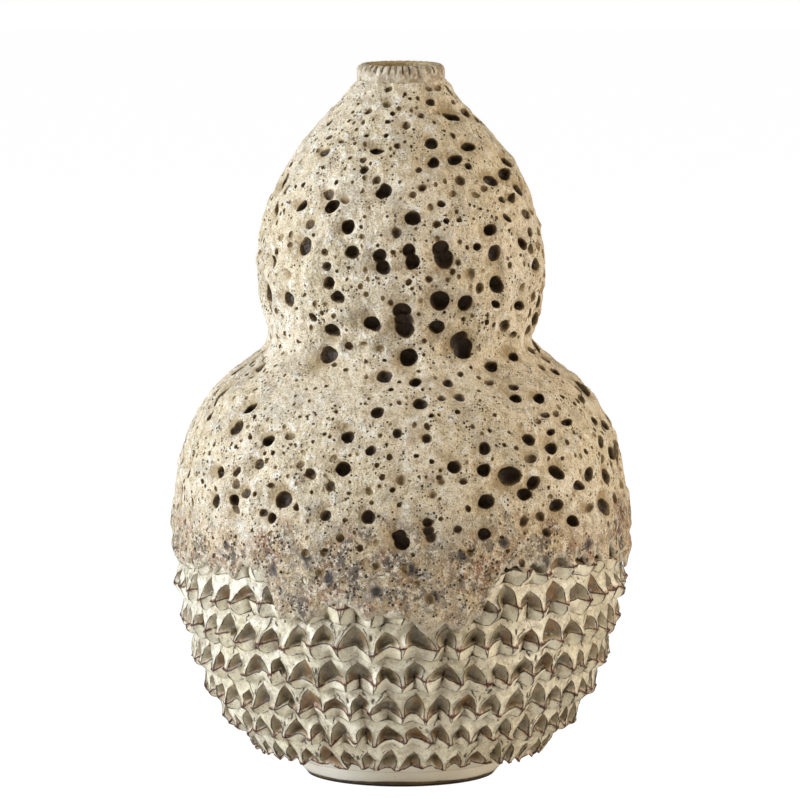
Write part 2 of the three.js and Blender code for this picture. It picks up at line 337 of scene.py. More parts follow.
# %% Sockets that take part in expressions
class Value:
    """The output of a shader node, usable in Python expressions."""

    def __init__(self, shader, socket):
        self.shader = shader
        self.socket = socket

    def __add__(self, other):
        return self.shader.maths("ADD", self, other)

    def __radd__(self, other):
        return self.shader.maths("ADD", other, self)

    def __sub__(self, other):
        return self.shader.maths("SUBTRACT", self, other)

    def __rsub__(self, other):
        return self.shader.maths("SUBTRACT", other, self)

    def __mul__(self, other):
        return self.shader.maths("MULTIPLY", self, other)

    def __rmul__(self, other):
        return self.shader.maths("MULTIPLY", other, self)

    def __truediv__(self, other):
        return self.shader.maths("DIVIDE", self, other)

    def __rtruediv__(self, other):
        return self.shader.maths("DIVIDE", other, self)

    def __abs__(self):
        return self.shader.maths("ABSOLUTE", self)

    def rise(self, low, high):
        """0 at low and 1 at high, smooth between them. low may be the larger."""
        if low > high:
            return 1 - self.rise(high, low)
        sockets = {"Value": self, "From Min": low, "From Max": high}
        return self.shader.node("MapRange", {"interpolation_type": "SMOOTHSTEP"}, sockets)


print("expressions add Math and Map Range nodes")

# %% [markdown]
# A second class holds one material and adds every other node in one step. Sizes are given in
# millimetres there too. All glazes read the piece's own coordinates, so a pattern runs on
# unbroken from one piece to the next.

# %% Shaders
class Shader:
    """A material with one principled shader, and the ways in which nodes are added to it."""

    def __init__(self, name, color, roughness):
        self.material = bpy.data.materials.new(name)
        self.material.use_nodes = True
        self.tree = self.material.node_tree
        self.paint = self.tree.nodes["Principled BSDF"]
        self.paint.inputs["Base Color"].default_value = srgb(color)
        self.paint.inputs["Roughness"].default_value = roughness
        self.place = self.node("TexCoord", {}, {}, "Object")

    def node(self, kind, settings, sockets, output=0):
        """Adds a node of a type, with its settings first and then its sockets."""
        made = self.tree.nodes.new("ShaderNode" + kind)
        for name, value in settings.items():
            setattr(made, name, value)
        for name, value in sockets.items():
            self.put(value, made.inputs[name])
        return Value(self, made.outputs[output])

    def put(self, value, socket):
        if isinstance(value, Value):
            self.tree.links.new(value.socket, socket)
        elif isinstance(value, str):
            socket.default_value = srgb(value)
        else:
            socket.default_value = value

    def maths(self, operation, *values):
        return self.node("Math", {"operation": operation}, dict(enumerate(values)))

    def noise(self, size, seed, detail=2.0):
        """Soft noise around 0.5 with bumps about size millimetres across."""
        sockets = {"Vector": self.place, "W": seed, "Scale": 1 / (size * MM), "Detail": detail}
        return self.node("TexNoise", {"noise_dimensions": "4D"}, sockets)

    def dots(self, size, seed, output="Distance"):
        """Distance in millimetres to scattered points about size apart."""
        settings = {"voronoi_dimensions": "4D"}
        sockets = {"Vector": self.place, "W": seed, "Scale": 1 / (size * MM)}
        found = self.node("TexVoronoi", settings, sockets, output)
        return found * size if output == "Distance" else found

    def mix(self, share, first, second):
        """The first colour where share is 0 and the second where it is 1."""
        settings = {"data_type": "RGBA", "clamp_factor": True}
        return self.node("Mix", settings, {0: share, 6: first, 7: second}, 2)

    def axes(self, vector):
        """The three parts of a vector."""
        return [self.node("SeparateXYZ", {}, {0: vector}, i) for i in range(3)]

    def stored(self, name, output="Fac"):
        """A value that the piece's mesh carries at each of its points."""
        return self.node("Attribute", {"attribute_name": name}, {}, output)

    def holes(self, size, seed, growth, least, edge, share=1):
        """Round holes of uneven size about size apart, 1 inside and 0 outside."""
        own_size = self.axes(self.dots(size, seed, "Color"))[0] * share
        return (own_size * growth - least - self.dots(size, seed)).rise(*edge)

    def most(self, first, *others):
        """The largest of some values."""
        for other in others:
            first = self.maths("MAXIMUM", first, other)
        return first

    def layers(self, color, *coats):
        """A colour under some coats, each a share and a colour, the first one lowest."""
        for share, coat in coats:
            color = self.mix(share, color, coat)
        return color

    def bump(self, height):
        """Relief from a height in millimetres, joined to the normal."""
        sockets = {"Height": height, "Distance": MM, "Strength": 1.0}
        self.put(self.node("Bump", {}, sockets), self.paint.inputs["Normal"])

    def paint_with(self, color, roughness):
        self.put(color, self.paint.inputs["Base Color"])
        self.put(roughness, self.paint.inputs["Roughness"])

    def height(self):
        """Height over the table in millimetres."""
        return self.axes(self.place)[2] * (1 / MM)


print("shader sizes are in millimetres")

# %% [markdown]
# ## Crater glaze
# A crater glaze holds something that gives off gas in the fire. The bubbles burst and the melt is
# too stiff to close again. The skin is dry and cream, warmer where it is thin and greyer where it
# is thick, with brown specks of iron and a pinhole every few millimetres. Down the holes the
# glaze turns ochre and then dark brown, partly the brown body showing and partly painted shade
# that deepens down the hole, so the colour is taken from each point's depth below the skin,
# which the mesh carries. The funnels beside large craters count partly as sunk, so their slopes
# take some of that painted shade. Towards the belt the glaze has run over the thorns and thinned
# to a pinkish, rusty grey.

# %% Cream skin
def cream_skin(glaze, cloud, patch, mottle, fine):
    """The colour of the thick, dry glaze."""
    return glaze.layers(
        glaze.mix(cloud.rise(0.36, 0.64), "#d6c29c", "#e2d0b0"),
        (patch.rise(0.48, 0.68) * 0.65, "#b3a68e"),
        (mottle.rise(0.5, 0.34) * 0.65, "#a48d68"),
        (mottle.rise(0.54, 0.68) * 0.65, "#f0eadc"),
        (fine.rise(0.47, 0.36) * 0.6, "#826c4a"),
        (fine.rise(0.55, 0.65) * 0.45, "#f6f0e1"),
    )


print("cream skin: six coats")


# %% Rusty band over the thorns
BAND_TOP = 165
BAND_FULL = 143


def band_share(glaze, height, cloud, patch):
    """1 where the glaze has run thin, just over the thorns, and 0 above."""
    line = height + (patch - 0.5) * 60 + (cloud - 0.5) * 50
    uneven = 0.75 + 0.25 * glaze.noise(30, 19, 2).rise(0.4, 0.55)
    return line.rise(BAND_TOP, BAND_FULL) * uneven


def rusty_skin(glaze, grain, fine):
    """The colour of the thin glaze: clouds of tan, grey, rust and brown under fine crumbs."""
    return glaze.layers(
        glaze.mix(glaze.noise(9, 5, 3).rise(0.4, 0.6), "#a08058", "#c5ac82"),
        (glaze.noise(9, 6, 5).rise(0.5, 0.58) * 0.8, "#82745f"),
        (glaze.noise(13, 7, 5).rise(0.52, 0.6) * 0.7, "#96694c"),
        (glaze.noise(10, 15, 5).rise(0.56, 0.61) * 0.85, "#43352a"),
        (glaze.noise(4, 17, 5).rise(0.53, 0.6) * 0.65, "#e9d8bb"),
        (glaze.noise(2.4, 18, 4).rise(0.44, 0.37) * 0.75, "#463322"),
        (grain.rise(0.54, 0.64) * 0.6, "#efe3cc"),
        (fine.rise(0.45, 0.37) * 0.75, "#463424"),
    )


print("the band fades out from", BAND_FULL, "to", BAND_TOP, "mm")


# %% Pinholes
def pinholes(glaze, band):
    """Holes too small to cut into the mesh, as dark dots of painted shade, crowded in places, with
    more of them in the band.
    """
    crowd = glaze.noise(11, 13, 3).rise(0.42, 0.6)
    return glaze.most(
        glaze.holes(1.5, 10, 1.2, 0.32, (-0.06, 0.08), 0.5 + crowd * 0.5),
        glaze.holes(3.6, 11, 1.7, 0.72, (-0.1, 0.1)),
        glaze.holes(2.1, 16, 1.7, 0.62, (-0.08, 0.08), band),
    )


print("pinholes of three sizes")


# %% Crater glaze
LINER_DEPTH = 10.0


def crater_glaze():
    glaze = Shader("crater_glaze", "#d8ccb2", 0.72)
    depth = glaze.stored("depth")
    cloud = glaze.noise(55, 1, 3)
    patch = glaze.noise(16, 2, 3)
    mottle = glaze.noise(5, 14, 4)
    grain = glaze.noise(1.7, 3, 4)
    fine = glaze.noise(0.8, 4, 3)

    band = band_share(glaze, glaze.height(), cloud, patch)
    specks = glaze.noise(1.2, 8, 2).rise(0.61, 0.67) * glaze.noise(18, 9, 2).rise(0.38, 0.6)
    holes = pinholes(glaze, band)
    burnt = glaze.stored("burn") + (mottle - 0.5) * 1.2 + (grain - 0.5) * 0.6
    wall = depth + (grain - 0.5) * 1.1
    run_out = glaze.stored("run_out") + (grain - 0.5) * 0.8 + (mottle - 0.5) * 2
    inside = depth.rise(LINER_DEPTH - 1.4, LINER_DEPTH - 0.6)
    color = glaze.layers(
        cream_skin(glaze, cloud, patch, mottle, fine),
        (band * 0.92, rusty_skin(glaze, grain, fine)),
        (specks * 0.85, "#5f4530"),
        (burnt.rise(0.3, 0.75) * 0.8, "#4a4038"),
        (burnt.rise(0.7, 1.0) * 0.85, "#28221d"),
        # painted shade: dark dots standing in for the shade inside pinholes
        (holes * 0.92, "#241608"),
        # painted shade: the walls darken with depth, partly the brown body and partly shade in the
        # holes
        (wall.rise(0.1, 0.8) * 0.9, "#a1875c"),
        (wall.rise(0.7, 1.9), "#6d5431"),
        (wall.rise(1.7, 3.2), "#3f2e15"),
        (run_out.rise(0.45, 0.95) * 0.6, "#c9bda2"),
        (inside, "#b08f4e"),
    )
    relief = grain * 1.1 + fine * 0.55 + mottle * 2.8
    glaze.bump(relief * (1 - inside) - holes * 0.6)
    glaze.paint_with(color, 0.78 - wall.rise(0.8, 2.6) * 0.3 - inside * 0.3 + (patch - 0.5) * 0.3)
    return glaze.material


CRATER_GLAZE = crater_glaze()
print(CRATER_GLAZE.name, "has", len(CRATER_GLAZE.node_tree.nodes), "nodes")

# %% [markdown]
# ## Thorn glaze
# Over the thorns the same cream glaze ran thin and glossy. It breaks red brown on the pinched
# peaks and gathers grey and olive in the hollows. The pockets, valleys and the undersides of the
# lobes are darkened further with painted shade that grows with depth. Thin dark lines lie on the
# creases, partly glaze gathered there and partly painted shade, and the line down each keel is a
# painted shadow. The meshes of the thorns carry where those lines lie, as distances in
# millimetres, and noise breaks them up.

# %% Iron on the peaks
def iron_on_peaks(glaze, across, above_lip, grain, patch):
    """Red brown where the glaze ran off the peaks: its wide stain and its dark core."""
    away = glaze.maths("SQRT", across * across * 0.2 + above_lip * above_lip * 1.8)
    stain = (away + (grain - 0.5) * 4 + (patch - 0.5) * 5).rise(3.0, 1.0)
    core = (away + (grain - 0.5) * 5 + (patch - 0.5) * 3).rise(1.5, 0.5)
    return stain, core


print("a stain and a core on each peak")


# %% Dark lines on the creases
def crease_lines(glaze, across, above_lip, random, facet_edge, crease, above, grain, patch):
    """Thin lines along the pockets, lips and folds, with a few wrinkles, keels and slits. The lip
    line is iron, the keel line is a painted shadow, and the lines in pockets, folds, wrinkles and
    slits are partly gathered glaze and partly painted shade.
    """
    broken = glaze.noise(5, 24, 2)
    wobble = (grain - 0.5) * 1.1 + (patch - 0.5) * 1.6
    pocket = abs(facet_edge + wobble * 0.7).rise(0.5, 0.15) * broken.rise(0.37, 0.45)
    lip = abs(above_lip + wobble * 0.7).rise(0.6, 0.2) * broken.rise(0.68, 0.58)
    fold = abs(crease + wobble).rise(0.55, 0.15) * broken.rise(0.55, 0.45)
    share = across / glaze.most(across - facet_edge, 0.5)
    wrinkle = abs(share + wobble * 0.35 - 0.5).rise(0.1, 0.03) * above
    wrinkle = wrinkle * (broken + random * 0.3).rise(0.72, 0.8)
    # painted shadow: a dark line down the keel under each peak
    keel = (across + abs(wobble)).rise(0.55, 0.15) * (1 - above) * random.rise(0.6, 0.7)
    slit = (across + wobble).rise(0.9, 0.35)
    slit = slit * abs(above_lip - 6.5 - random * 2).rise(2.4, 0.8) * random.rise(0.75, 0.82)
    return glaze.most(pocket, lip, fold, wrinkle, keel, slit)


print("six kinds of dark line")


# %% Thorn glaze
def thorn_glaze():
    glaze = Shader("thorn_glaze", "#cfc5ae", 0.3)
    across, above_lip, random = glaze.axes(glaze.stored("cell", "Vector"))
    facet_edge, crease, proud = glaze.axes(glaze.stored("lines", "Vector"))
    cloud = glaze.noise(40, 21, 2)
    patch = glaze.noise(7, 22, 3)
    grain = glaze.noise(1.6, 23, 3)

    above = above_lip.rise(-0.8, 0.8)
    uneven = (patch - 0.5) * 3
    pocket = (facet_edge + uneven * 0.5).rise(-0.2, 0.7) * above
    # painted shade: the low and deep parts of the pockets, the valleys and the lobes' undersides
    # darken with depth
    low = (proud + uneven).rise(6.8, 3.6) * pocket
    deep = (proud + (patch - 0.5) * 2).rise(4.2, 1.0) * pocket
    shade = (facet_edge + uneven).rise(-2.6, 0.2) * above
    hollows = glaze.noise(4.5, 27, 3).rise(0.46, 0.6) * above_lip.rise(1, 5)
    valley_shade = (proud + uneven).rise(4.2, 2.0)
    under = (proud + (patch - 0.5) * 2).rise(3.6, 1.4) * (1 - above)
    brown = glaze.noise(12, 26, 3).rise(0.5, 0.62) * low
    stain, core = iron_on_peaks(glaze, across, above_lip, grain, patch)
    dark = crease_lines(
        glaze, across, above_lip, random, facet_edge, crease, above, grain, patch)
    specks = glaze.noise(1.1, 25, 2).rise(0.63, 0.69)
    color = glaze.layers(
        glaze.mix(cloud.rise(0.35, 0.65), "#e0d2ae", "#ece2c6"),
        (shade * 0.45, "#a38c64"),
        (hollows * 0.5, "#a39171"),
        # painted shade in valleys, pockets and under the lobes; the olive in the pockets is partly
        # gathered glaze
        (valley_shade * 0.45, "#a08e6e"),
        (low * 0.85, "#93835f"),
        (deep * 0.85, "#54452c"),
        (under * 0.7, "#8a7656"),
        (patch.rise(0.5, 0.66) * 0.4, "#a89a7d"),
        (grain.rise(0.52, 0.68) * (0.4 - low * 0.34), "#f6f1e4"),
        (brown * 0.6, "#8a6238"),
        (stain * 0.6, "#b98a66"),
        (core * 0.9, "#74371b"),
        (dark * 0.9, "#3a2616"),
        (specks * 0.75, "#4f3824"),
    )
    glaze.bump(grain * 0.35 + patch * 1.8 - dark * 0.5)
    glaze.paint_with(color, 0.24 + patch * 0.22 + stain * 0.2)
    return glaze.material


THORN_GLAZE = thorn_glaze()
print(THORN_GLAZE.name, "has", len(THORN_GLAZE.node_tree.nodes), "nodes")

# %% [markdown]
# ## Foot, bare clay, liner and lip
# The foot was wiped smooth before glazing, so the glaze lies even on it and shines. Its standing
# rim was wiped bare and fired dark. Inside, the vase was rinsed with a golden glaze, which shows
# only at the mouth. The glaze on the lip is painted darker brown along each nick.

# %% Foot glaze
def foot_glaze():
    glaze = Shader("foot_glaze", "#dbd1ba", 0.25)
    height = glaze.height()
    cloud = glaze.noise(30, 31, 2)
    grain = glaze.noise(1.5, 32, 3)
    bare = (height + (cloud - 0.5) * 3 + (grain - 0.5) * 0.6).rise(3.4, 2.7)
    # painted light: the foot glaze is paler than the cream glaze, to lift the foot out of the shade
    # under the belly
    color = glaze.layers(
        glaze.mix(cloud.rise(0.35, 0.65), "#efe3ca", "#f7eeda"),
        (grain.rise(0.6, 0.72) * 0.3, "#b3a688"),
        (bare, glaze.mix(glaze.noise(18, 33, 2).rise(0.4, 0.65), "#57472d", "#7d6139")),
        (height.rise(1.6, 0.9), "#2b2116"),
    )
    glaze.bump(cloud * 0.4 + grain * 0.05 + bare * grain * 0.2 - bare * 0.25)
    glaze.paint_with(color, 0.2 + bare * 0.6)
    return glaze.material


FOOT_GLAZE = foot_glaze()
print(FOOT_GLAZE.name)


# %% Bare clay and liner
def bare_clay():
    clay = Shader("bare_clay", "#8a7048", 0.85)
    grain = clay.noise(1.2, 41, 3)
    color = clay.mix(clay.noise(14, 42, 2).rise(0.4, 0.65), "#6b5233", "#94754a")
    clay.bump(grain * 0.3)
    clay.paint_with(clay.mix(grain.rise(0.55, 0.7) * 0.5, color, "#4a3823"), 0.85)
    return clay.material


def liner_glaze():
    glaze = Shader("liner_glaze", "#b79a5c", 0.35)
    cloud = glaze.noise(25, 51, 2)
    glaze.bump(cloud * 0.5 + glaze.noise(3, 52, 2) * 0.1)
    glaze.paint_with(glaze.mix(cloud.rise(0.35, 0.65), "#a98a4b", "#c2a566"), 0.3 + cloud * 0.15)
    return glaze.material


BARE_CLAY = bare_clay()
LINER_GLAZE = liner_glaze()
print(BARE_CLAY.name, "and", LINER_GLAZE.name)


# %% Lip glaze
def lip_glaze():
    glaze = Shader("lip_glaze", "#c2b396", 0.6)
    inside = glaze.stored("depth")
    grain = glaze.noise(1.4, 61, 3)
    fine = glaze.noise(0.8, 4, 3)
    patch = glaze.noise(5, 62, 3)
    stroke = glaze.stored("nick") + (grain - 0.5) * 1.2 + (patch - 0.5) * 0.8
    pores = glaze.holes(1.9, 63, 1.1, 0.5, (-0.08, 0.08))
    color = glaze.layers(
        glaze.mix(patch.rise(0.4, 0.6), "#9c8769", "#c6b699"),
        (fine.rise(0.46, 0.36) * 0.6, "#806b4c"),
        (grain.rise(0.52, 0.66) * 0.5, "#e6dcc8"),
        (stroke.rise(0.3, 0.75) * 0.9, "#5a4526"),
        # painted shade: dark dots standing in for the shade inside pores too small to cut
        (pores * (1 - inside), "#2e1f10"),
        (inside.rise(0.3, 0.7), "#ab925f"),
    )
    glaze.bump(grain * 0.8 + patch * 1.2)
    glaze.paint_with(color, 0.65 - inside * 0.3)
    return glaze.material


LIP_GLAZE = lip_glaze()
print(LIP_GLAZE.name)

# %% [markdown]
# ## Turned bodies
# Every part of the vase goes once round the axis, as it does on the wheel. Each is modelled as
# a flat sheet that is rolled up: a grid's points are moved onto the sections of the part, up the
# outside and down the inside, and the sheet's edges are welded where they meet. So each part is
# one closed body with its faces outwards.

# %% Picking, cutting and joining
def pick(body):
    """Selects one piece alone, for the next operator."""
    bpy.ops.object.select_all(action="DESELECT")
    body.select_set(True)
    bpy.context.view_layer.objects.active = body


def cut_or_join(body, tool, operation):
    """Takes a second shape away from a piece or joins it on, and removes the second shape."""
    modifier = body.modifiers.new(operation, "BOOLEAN")
    modifier.operation = operation
    modifier.solver = "MANIFOLD"
    modifier.object = tool
    pick(body)
    bpy.ops.object.modifier_apply(modifier=operation)
    mesh = tool.data
    bpy.data.objects.remove(tool)
    bpy.data.meshes.remove(mesh)


print("cuts and joins leave one closed body")


# %% Ring bodies and what they carry
def carry(body, name, values):
    """Stores a number or a vector on each point of a piece, for its shader."""
    count = len(body.data.vertices)
    kind, field = ("FLOAT", "value") if values.size == count else ("FLOAT_VECTOR", "vector")
    attribute = body.data.attributes.new(name, kind, "POINT")
    attribute.data.foreach_set(field, values.astype(np.float32).ravel())


def ring_body(name, places, **carried):
    """A closed ring from places[column, row] in millimetres, up the outside, down the inside."""
    columns, rows = places.shape[:2]
    bpy.ops.object.select_all(action="DESELECT")
    bpy.ops.mesh.primitive_grid_add(x_subdivisions=columns, y_subdivisions=rows)
    body = bpy.context.object
    body.name = name

    def rolled(values):
        full = np.broadcast_to(values, places.shape[:2] + values.shape[2:])
        full = full[np.arange(columns + 1) % columns][:, np.arange(rows + 1) % rows]
        return np.swapaxes(full, 0, 1).astype(np.float32)

    body.data.vertices.foreach_set("co", (rolled(places) * MM).ravel())
    for key, values in carried.items():
        carry(body, key, rolled(values))
    bpy.ops.object.mode_set(mode="EDIT")
    bpy.ops.mesh.select_all(action="SELECT")
    bpy.ops.mesh.remove_doubles(threshold=1e-7)
    bpy.ops.object.mode_set(mode="OBJECT")
    return body


print("a ring body's sheet is welded at its edges")


# %% Columns and points
def columns_round(columns):
    """The azimuth of each column of a ring body, as a column of numbers."""
    return np.linspace(0, 2 * math.pi, columns, endpoint=False)[:, None]


def places_of(body):
    """The points of a piece as radius, azimuth and height."""
    flat = np.empty(len(body.data.vertices) * 3, np.float32)
    body.data.vertices.foreach_get("co", flat)
    x, y, z = (flat.reshape(-1, 3).astype(float) / MM).T
    return np.hypot(x, y), np.arctan2(x, -y), z


print("four columns stand at", np.degrees(columns_round(4)[:, 0]).round(), "degrees")


# %% Finishing a piece
def finish_piece(body, material, slot, *nodes, angle=35):
    """Smooths the faces, gives the finish, sets the piece on the body root and hides the solids it
    stands for.
    """
    pick(body)
    bpy.ops.object.shade_smooth_by_angle(angle=math.radians(angle))
    body.data.materials.clear()
    body.data.materials.append(material)
    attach(body, "root")
    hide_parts(*nodes)
    print(f"{body.name}: {len(body.data.polygons)} faces, on {', '.join(nodes)}")


print("a piece rides on the body root")


# %% [markdown]
# ## The skin of the glaze
# The glaze lies a few millimetres thick and never even: it swells and sinks by a millimetre over
# a few centimetres, and around a large crater it is drawn in like cloth round a button. The
# craters are listed first, because the skin follows them.

# %% Craters seen from the front
# Azimuth in degrees, height of the middle, width and height of the hole
FRONT_CRATERS = [
    (-15, 388, 5, 4), (34, 388, 5, 4), (49, 388, 6, 4), (30, 381, 6, 5), (-13, 380, 5, 5),
    (-29, 376, 5, 4), (-7, 375, 3, 3), (17, 374, 4, 4), (47, 373, 10, 7), (4, 369, 5, 5),
    (-41, 360, 6, 3), (19, 360, 7, 7), (-2, 359, 4, 4), (44, 358, 9, 6), (-14, 356, 8, 5),
    (-49, 354, 8, 5), (-21, 351, 4, 4), (31, 351, 9, 7), (18, 350, 7, 7), (37, 347, 5, 4),
    (-19, 346, 5, 5), (9, 346, 4, 4), (-12, 341, 5, 5), (65, 341, 12, 6), (30, 340, 7, 6),
    (50, 339, 10, 7), (10, 337, 5, 4), (-8, 335, 8, 8), (42, 335, 5, 4), (5, 333, 5, 4),
    (24, 333, 5, 4), (-35, 332, 7, 6), (36, 332, 6, 4), (-26, 330, 6, 5), (18, 328, 5, 4),
    (52, 328, 6, 4), (61, 328, 9, 4), (-32, 326, 9, 8), (13, 326, 4, 4), (-49, 325, 9, 6),
    (5, 321, 8, 8), (25, 319, 4, 3), (52, 318, 7, 4), (15, 317, 5, 4), (-23, 316, 9, 8),
    (-41, 316, 7, 6), (-2, 313, 6, 6), (40, 313, 9, 7), (15, 309, 4, 4), (-58, 307, 5, 5),
    (-43, 304, 11, 10), (32, 304, 5, 4), (60, 303, 9, 7), (-20, 302, 8, 7), (-51, 302, 4, 7),
    (-3, 302, 3, 3), (17, 301, 10, 15), (-32, 301, 5, 4), (4, 300, 8, 15), (41, 300, 9, 10),
    (-8, 297, 8, 14), (23, 296, 4, 4), (-62, 293, 8, 5), (-31, 293, 6, 5), (-14, 292, 4, 4),
    (21, 291, 4, 4), (28, 289, 6, 7), (-52, 287, 8, 5), (11, 287, 4, 4), (-30, 284, 8, 7),
    (42, 282, 9, 9), (33, 281, 5, 6), (58, 278, 6, 6), (-26, 276, 8, 7), (16, 275, 10, 10),
    (8, 275, 4, 4), (-4, 274, 4, 4), (27, 273, 8, 9), (-52, 273, 10, 8), (42, 271, 6, 4),
    (59, 268, 10, 5), (1, 264, 10, 21), (-39, 264, 6, 4), (-12, 262, 10, 8), (15, 260, 9, 8),
    (49, 258, 6, 8), (-30, 257, 9, 8), (56, 252, 5, 4), (-16, 250, 5, 4), (27, 249, 11, 15),
    (-23, 249, 5, 5), (-9, 248, 5, 4), (-33, 244, 12, 10), (3, 244, 10, 10), (55, 241, 11, 6),
    (39, 238, 9, 7), (23, 235, 4, 4), (-6, 235, 8, 8), (5, 232, 7, 7), (17, 231, 6, 6),
    (33, 230, 6, 5), (42, 227, 7, 5), (19, 224, 6, 6), (13, 224, 5, 5), (6, 222, 8, 8),
    (39, 222, 9, 7), (49, 221, 9, 6), (-7, 217, 7, 7), (-51, 215, 9, 6), (47, 212, 7, 4),
    (51, 212, 5, 5), (-16, 210, 4, 4), (43, 209, 5, 3), (-1, 207, 6, 6), (54, 207, 8, 4),
    (-53, 205, 11, 7), (-15, 204, 8, 7), (7, 204, 6, 6), (-32, 203, 6, 5), (46, 203, 6, 4),
    (37, 201, 8, 7), (-39, 200, 9, 7), (-8, 198, 6, 6), (23, 198, 7, 7), (44, 195, 9, 7),
    (-18, 193, 5, 4), (36, 191, 8, 6), (-27, 189, 6, 5), (14, 189, 8, 7), (-15, 188, 8, 8),
    (-40, 187, 8, 6), (22, 186, 8, 7), (-24, 184, 7, 6), (29, 183, 12, 10), (-47, 182, 7, 5),
    (0, 182, 6, 7), (10, 182, 4, 6), (44, 182, 10, 7), (16, 181, 5, 4), (-54, 180, 10, 6),
    (-18, 178, 6, 6), (36, 178, 9, 7), (57, 178, 8, 7), (-35, 176, 5, 4), (-8, 176, 5, 4),
    (-47, 175, 7, 5), (8, 174, 5, 4), (52, 173, 8, 5), (33, 172, 9, 7), (-43, 171, 8, 6),
    (-31, 169, 11, 9), (22, 169, 9, 8), (-47, 166, 9, 6), (17, 166, 4, 4), (-54, 164, 8, 8),
    (43, 164, 10, 7), (-8, 162, 7, 7), (-19, 162, 7, 6), (-46, 161, 7, 5), (-37, 161, 6, 5),
    (55, 160, 9, 5), (-34, 159, 7, 6), (37, 159, 6, 5), (64, 158, 12, 9), (32, 157, 5, 6),
    (7, 155, 6, 14), (14, 155, 5, 4), (49, 154, 9, 6), (21, 152, 7, 7), (0, 150, 8, 11),
    (-15, 150, 5, 5), (39, 150, 6, 5), (-6, 148, 5, 4),
    (7, 117, 7, 7), (-24, 141, 5, 5), (-19, 142, 5, 6), (-24, 126, 5, 5), (-20, 130, 6, 6),
    (1, 134, 6, 6), (17, 142, 5, 5), (31, 134, 5, 5), (-2, 120, 4, 4), (-10, 145, 4, 4),
    (-6, 135, 4, 4), (12, 127, 4, 4), (4, 126, 4, 3),
]
print(len(FRONT_CRATERS), "craters at the front")


# %% Bubbles that ran together
def turn_between(first, second):
    """The angle from the second azimuth to the first, the short way round."""
    return (first - second + math.pi) % (2 * math.pi) - math.pi


def bubbles_of(crater):
    """A tall crater as the two or three round bubbles that ran together in it."""
    azimuth, height, width, tall = crater
    if tall < 1.3 * width:
        return [crater]
    reach = (tall - width) / 2
    aside = 0.1 * width / float(outer_radius(height))
    shares = (-1, 1) if tall < 1.9 * width else (-1, -0.1, 1)
    sizes = [width * (1 - 0.05 * share) for share in shares]
    return [
        np.array([azimuth - aside * share, height + reach * share, size, size])
        for share, size in zip(shares, sizes)
    ]


print("a crater of 10 by 21 mm is", len(bubbles_of((0, BELT_TOP, 10, 21))), "bubbles")


# %% Large craters on the sides and back
BACK_CRATERS = 60
BACK_START = 68
BACK_REACH = 224
BACK_WIDTH = 9
AROUND_STEP = 0.7548777
UP_STEP = 0.5698403


def back_craters():
    """The large craters on the sides and back, where the solids have theirs."""
    rows = []
    for number in range(BACK_CRATERS):
        around = (0.5 + number * AROUND_STEP) % 1
        up = (0.5 + number * UP_STEP) % 1
        height = BELT_TOP + 18 + up * (NECK_SEAM - BELT_TOP - 27)
        tall = BACK_WIDTH * (0.8 + 0.5 * around)
        rows.append((BACK_START + around * BACK_REACH, height, BACK_WIDTH, tall))
    return rows


print(len(back_craters()), "large craters on the sides and back")


# %% Craters between the large ones
# Count, least and largest width, lowest and highest place, sides and back only, gap to others
SCATTERED = [
    (60, 7.5, 11.5, 158, 380, True, 2.0),
    (380, 4, 7.4, 150, 388, True, 1.2),
    (1350, 1.5, 3.6, 128, 390, False, 0.5),
    (260, 1.3, 3.4, 103, 140, False, 0.6),
]
FRONT_HALF_ANGLE = math.radians(66)
BAND_SHRINK = 0.75


def scattered_craters():
    """All craters as rows of azimuth, height, width and tallness."""
    random = np.random.default_rng(7)
    known = np.array(FRONT_CRATERS + back_craters(), float)
    known[:, 0] = np.radians(known[:, 0])
    placed = [bubble for crater in known for bubble in bubbles_of(crater)]

    def room_for(azimuth, height, reach):
        others = np.array(placed)
        turn = turn_between(others[:, 0], azimuth)
        gaps = np.hypot(turn * outer_radius(height), others[:, 1] - height)
        return np.all(gaps > reach + 0.5 * np.maximum(others[:, 2], others[:, 3]))

    for count, least, largest, low, high, sides_only, gap in SCATTERED:
        made = 0
        for _ in range(count * 12):
            if made == count:
                break
            azimuth = random.uniform(-math.pi, math.pi)
            height = random.uniform(low, high)
            if random.uniform() > outer_radius(height) / BELLY_RADIUS:
                continue
            width = math.exp(random.uniform(math.log(least), math.log(largest)))
            tall = width * random.uniform(0.8, 1.35)
            if sides_only and abs(azimuth) < FRONT_HALF_ANGLE:
                continue
            if height < BAND_TOP:
                width, tall = width * BAND_SHRINK, tall * BAND_SHRINK
            if room_for(azimuth, height, 0.5 * max(width, tall) + gap):
                placed.append(np.array([azimuth, height, width, tall]))
                made += 1
    return np.array(placed)


CRATERS = scattered_craters()
print(len(CRATERS), "craters in all")


# %% Where the skin lies
TUCK_START = 118
TUCK_END = 129
TUCK = 1.5


def skin_radius(azimuth, height):
    """Radius of the glaze's outer face with its lumps. At the belly it stays in the solid."""
    radius = outer_radius(height)
    points = on_axis(radius, azimuth, height)
    lumps = 0.8 * noise(points, 34, 1) + 1.1 * noise(points, 13, 2) + 0.9 * noise(points, 5.5, 3)
    wide = step(TUCK_START, TUCK_END, radius)
    return radius + lumps * (1 - 0.35 * wide) - (TUCK * wide + 0.25)


print("skin at the waist", np.round(skin_radius(np.zeros(1), np.full(1, WAIST_HEIGHT)), 2))


# %% Funnels and rims
FUNNEL_LEAST_WIDTH = 3.8
FUNNEL_DEPTH = 0.3
FUNNEL_ASIDE = 0.36
RIM_HEIGHT = 0.055
RIM_DISTANCE = 0.72


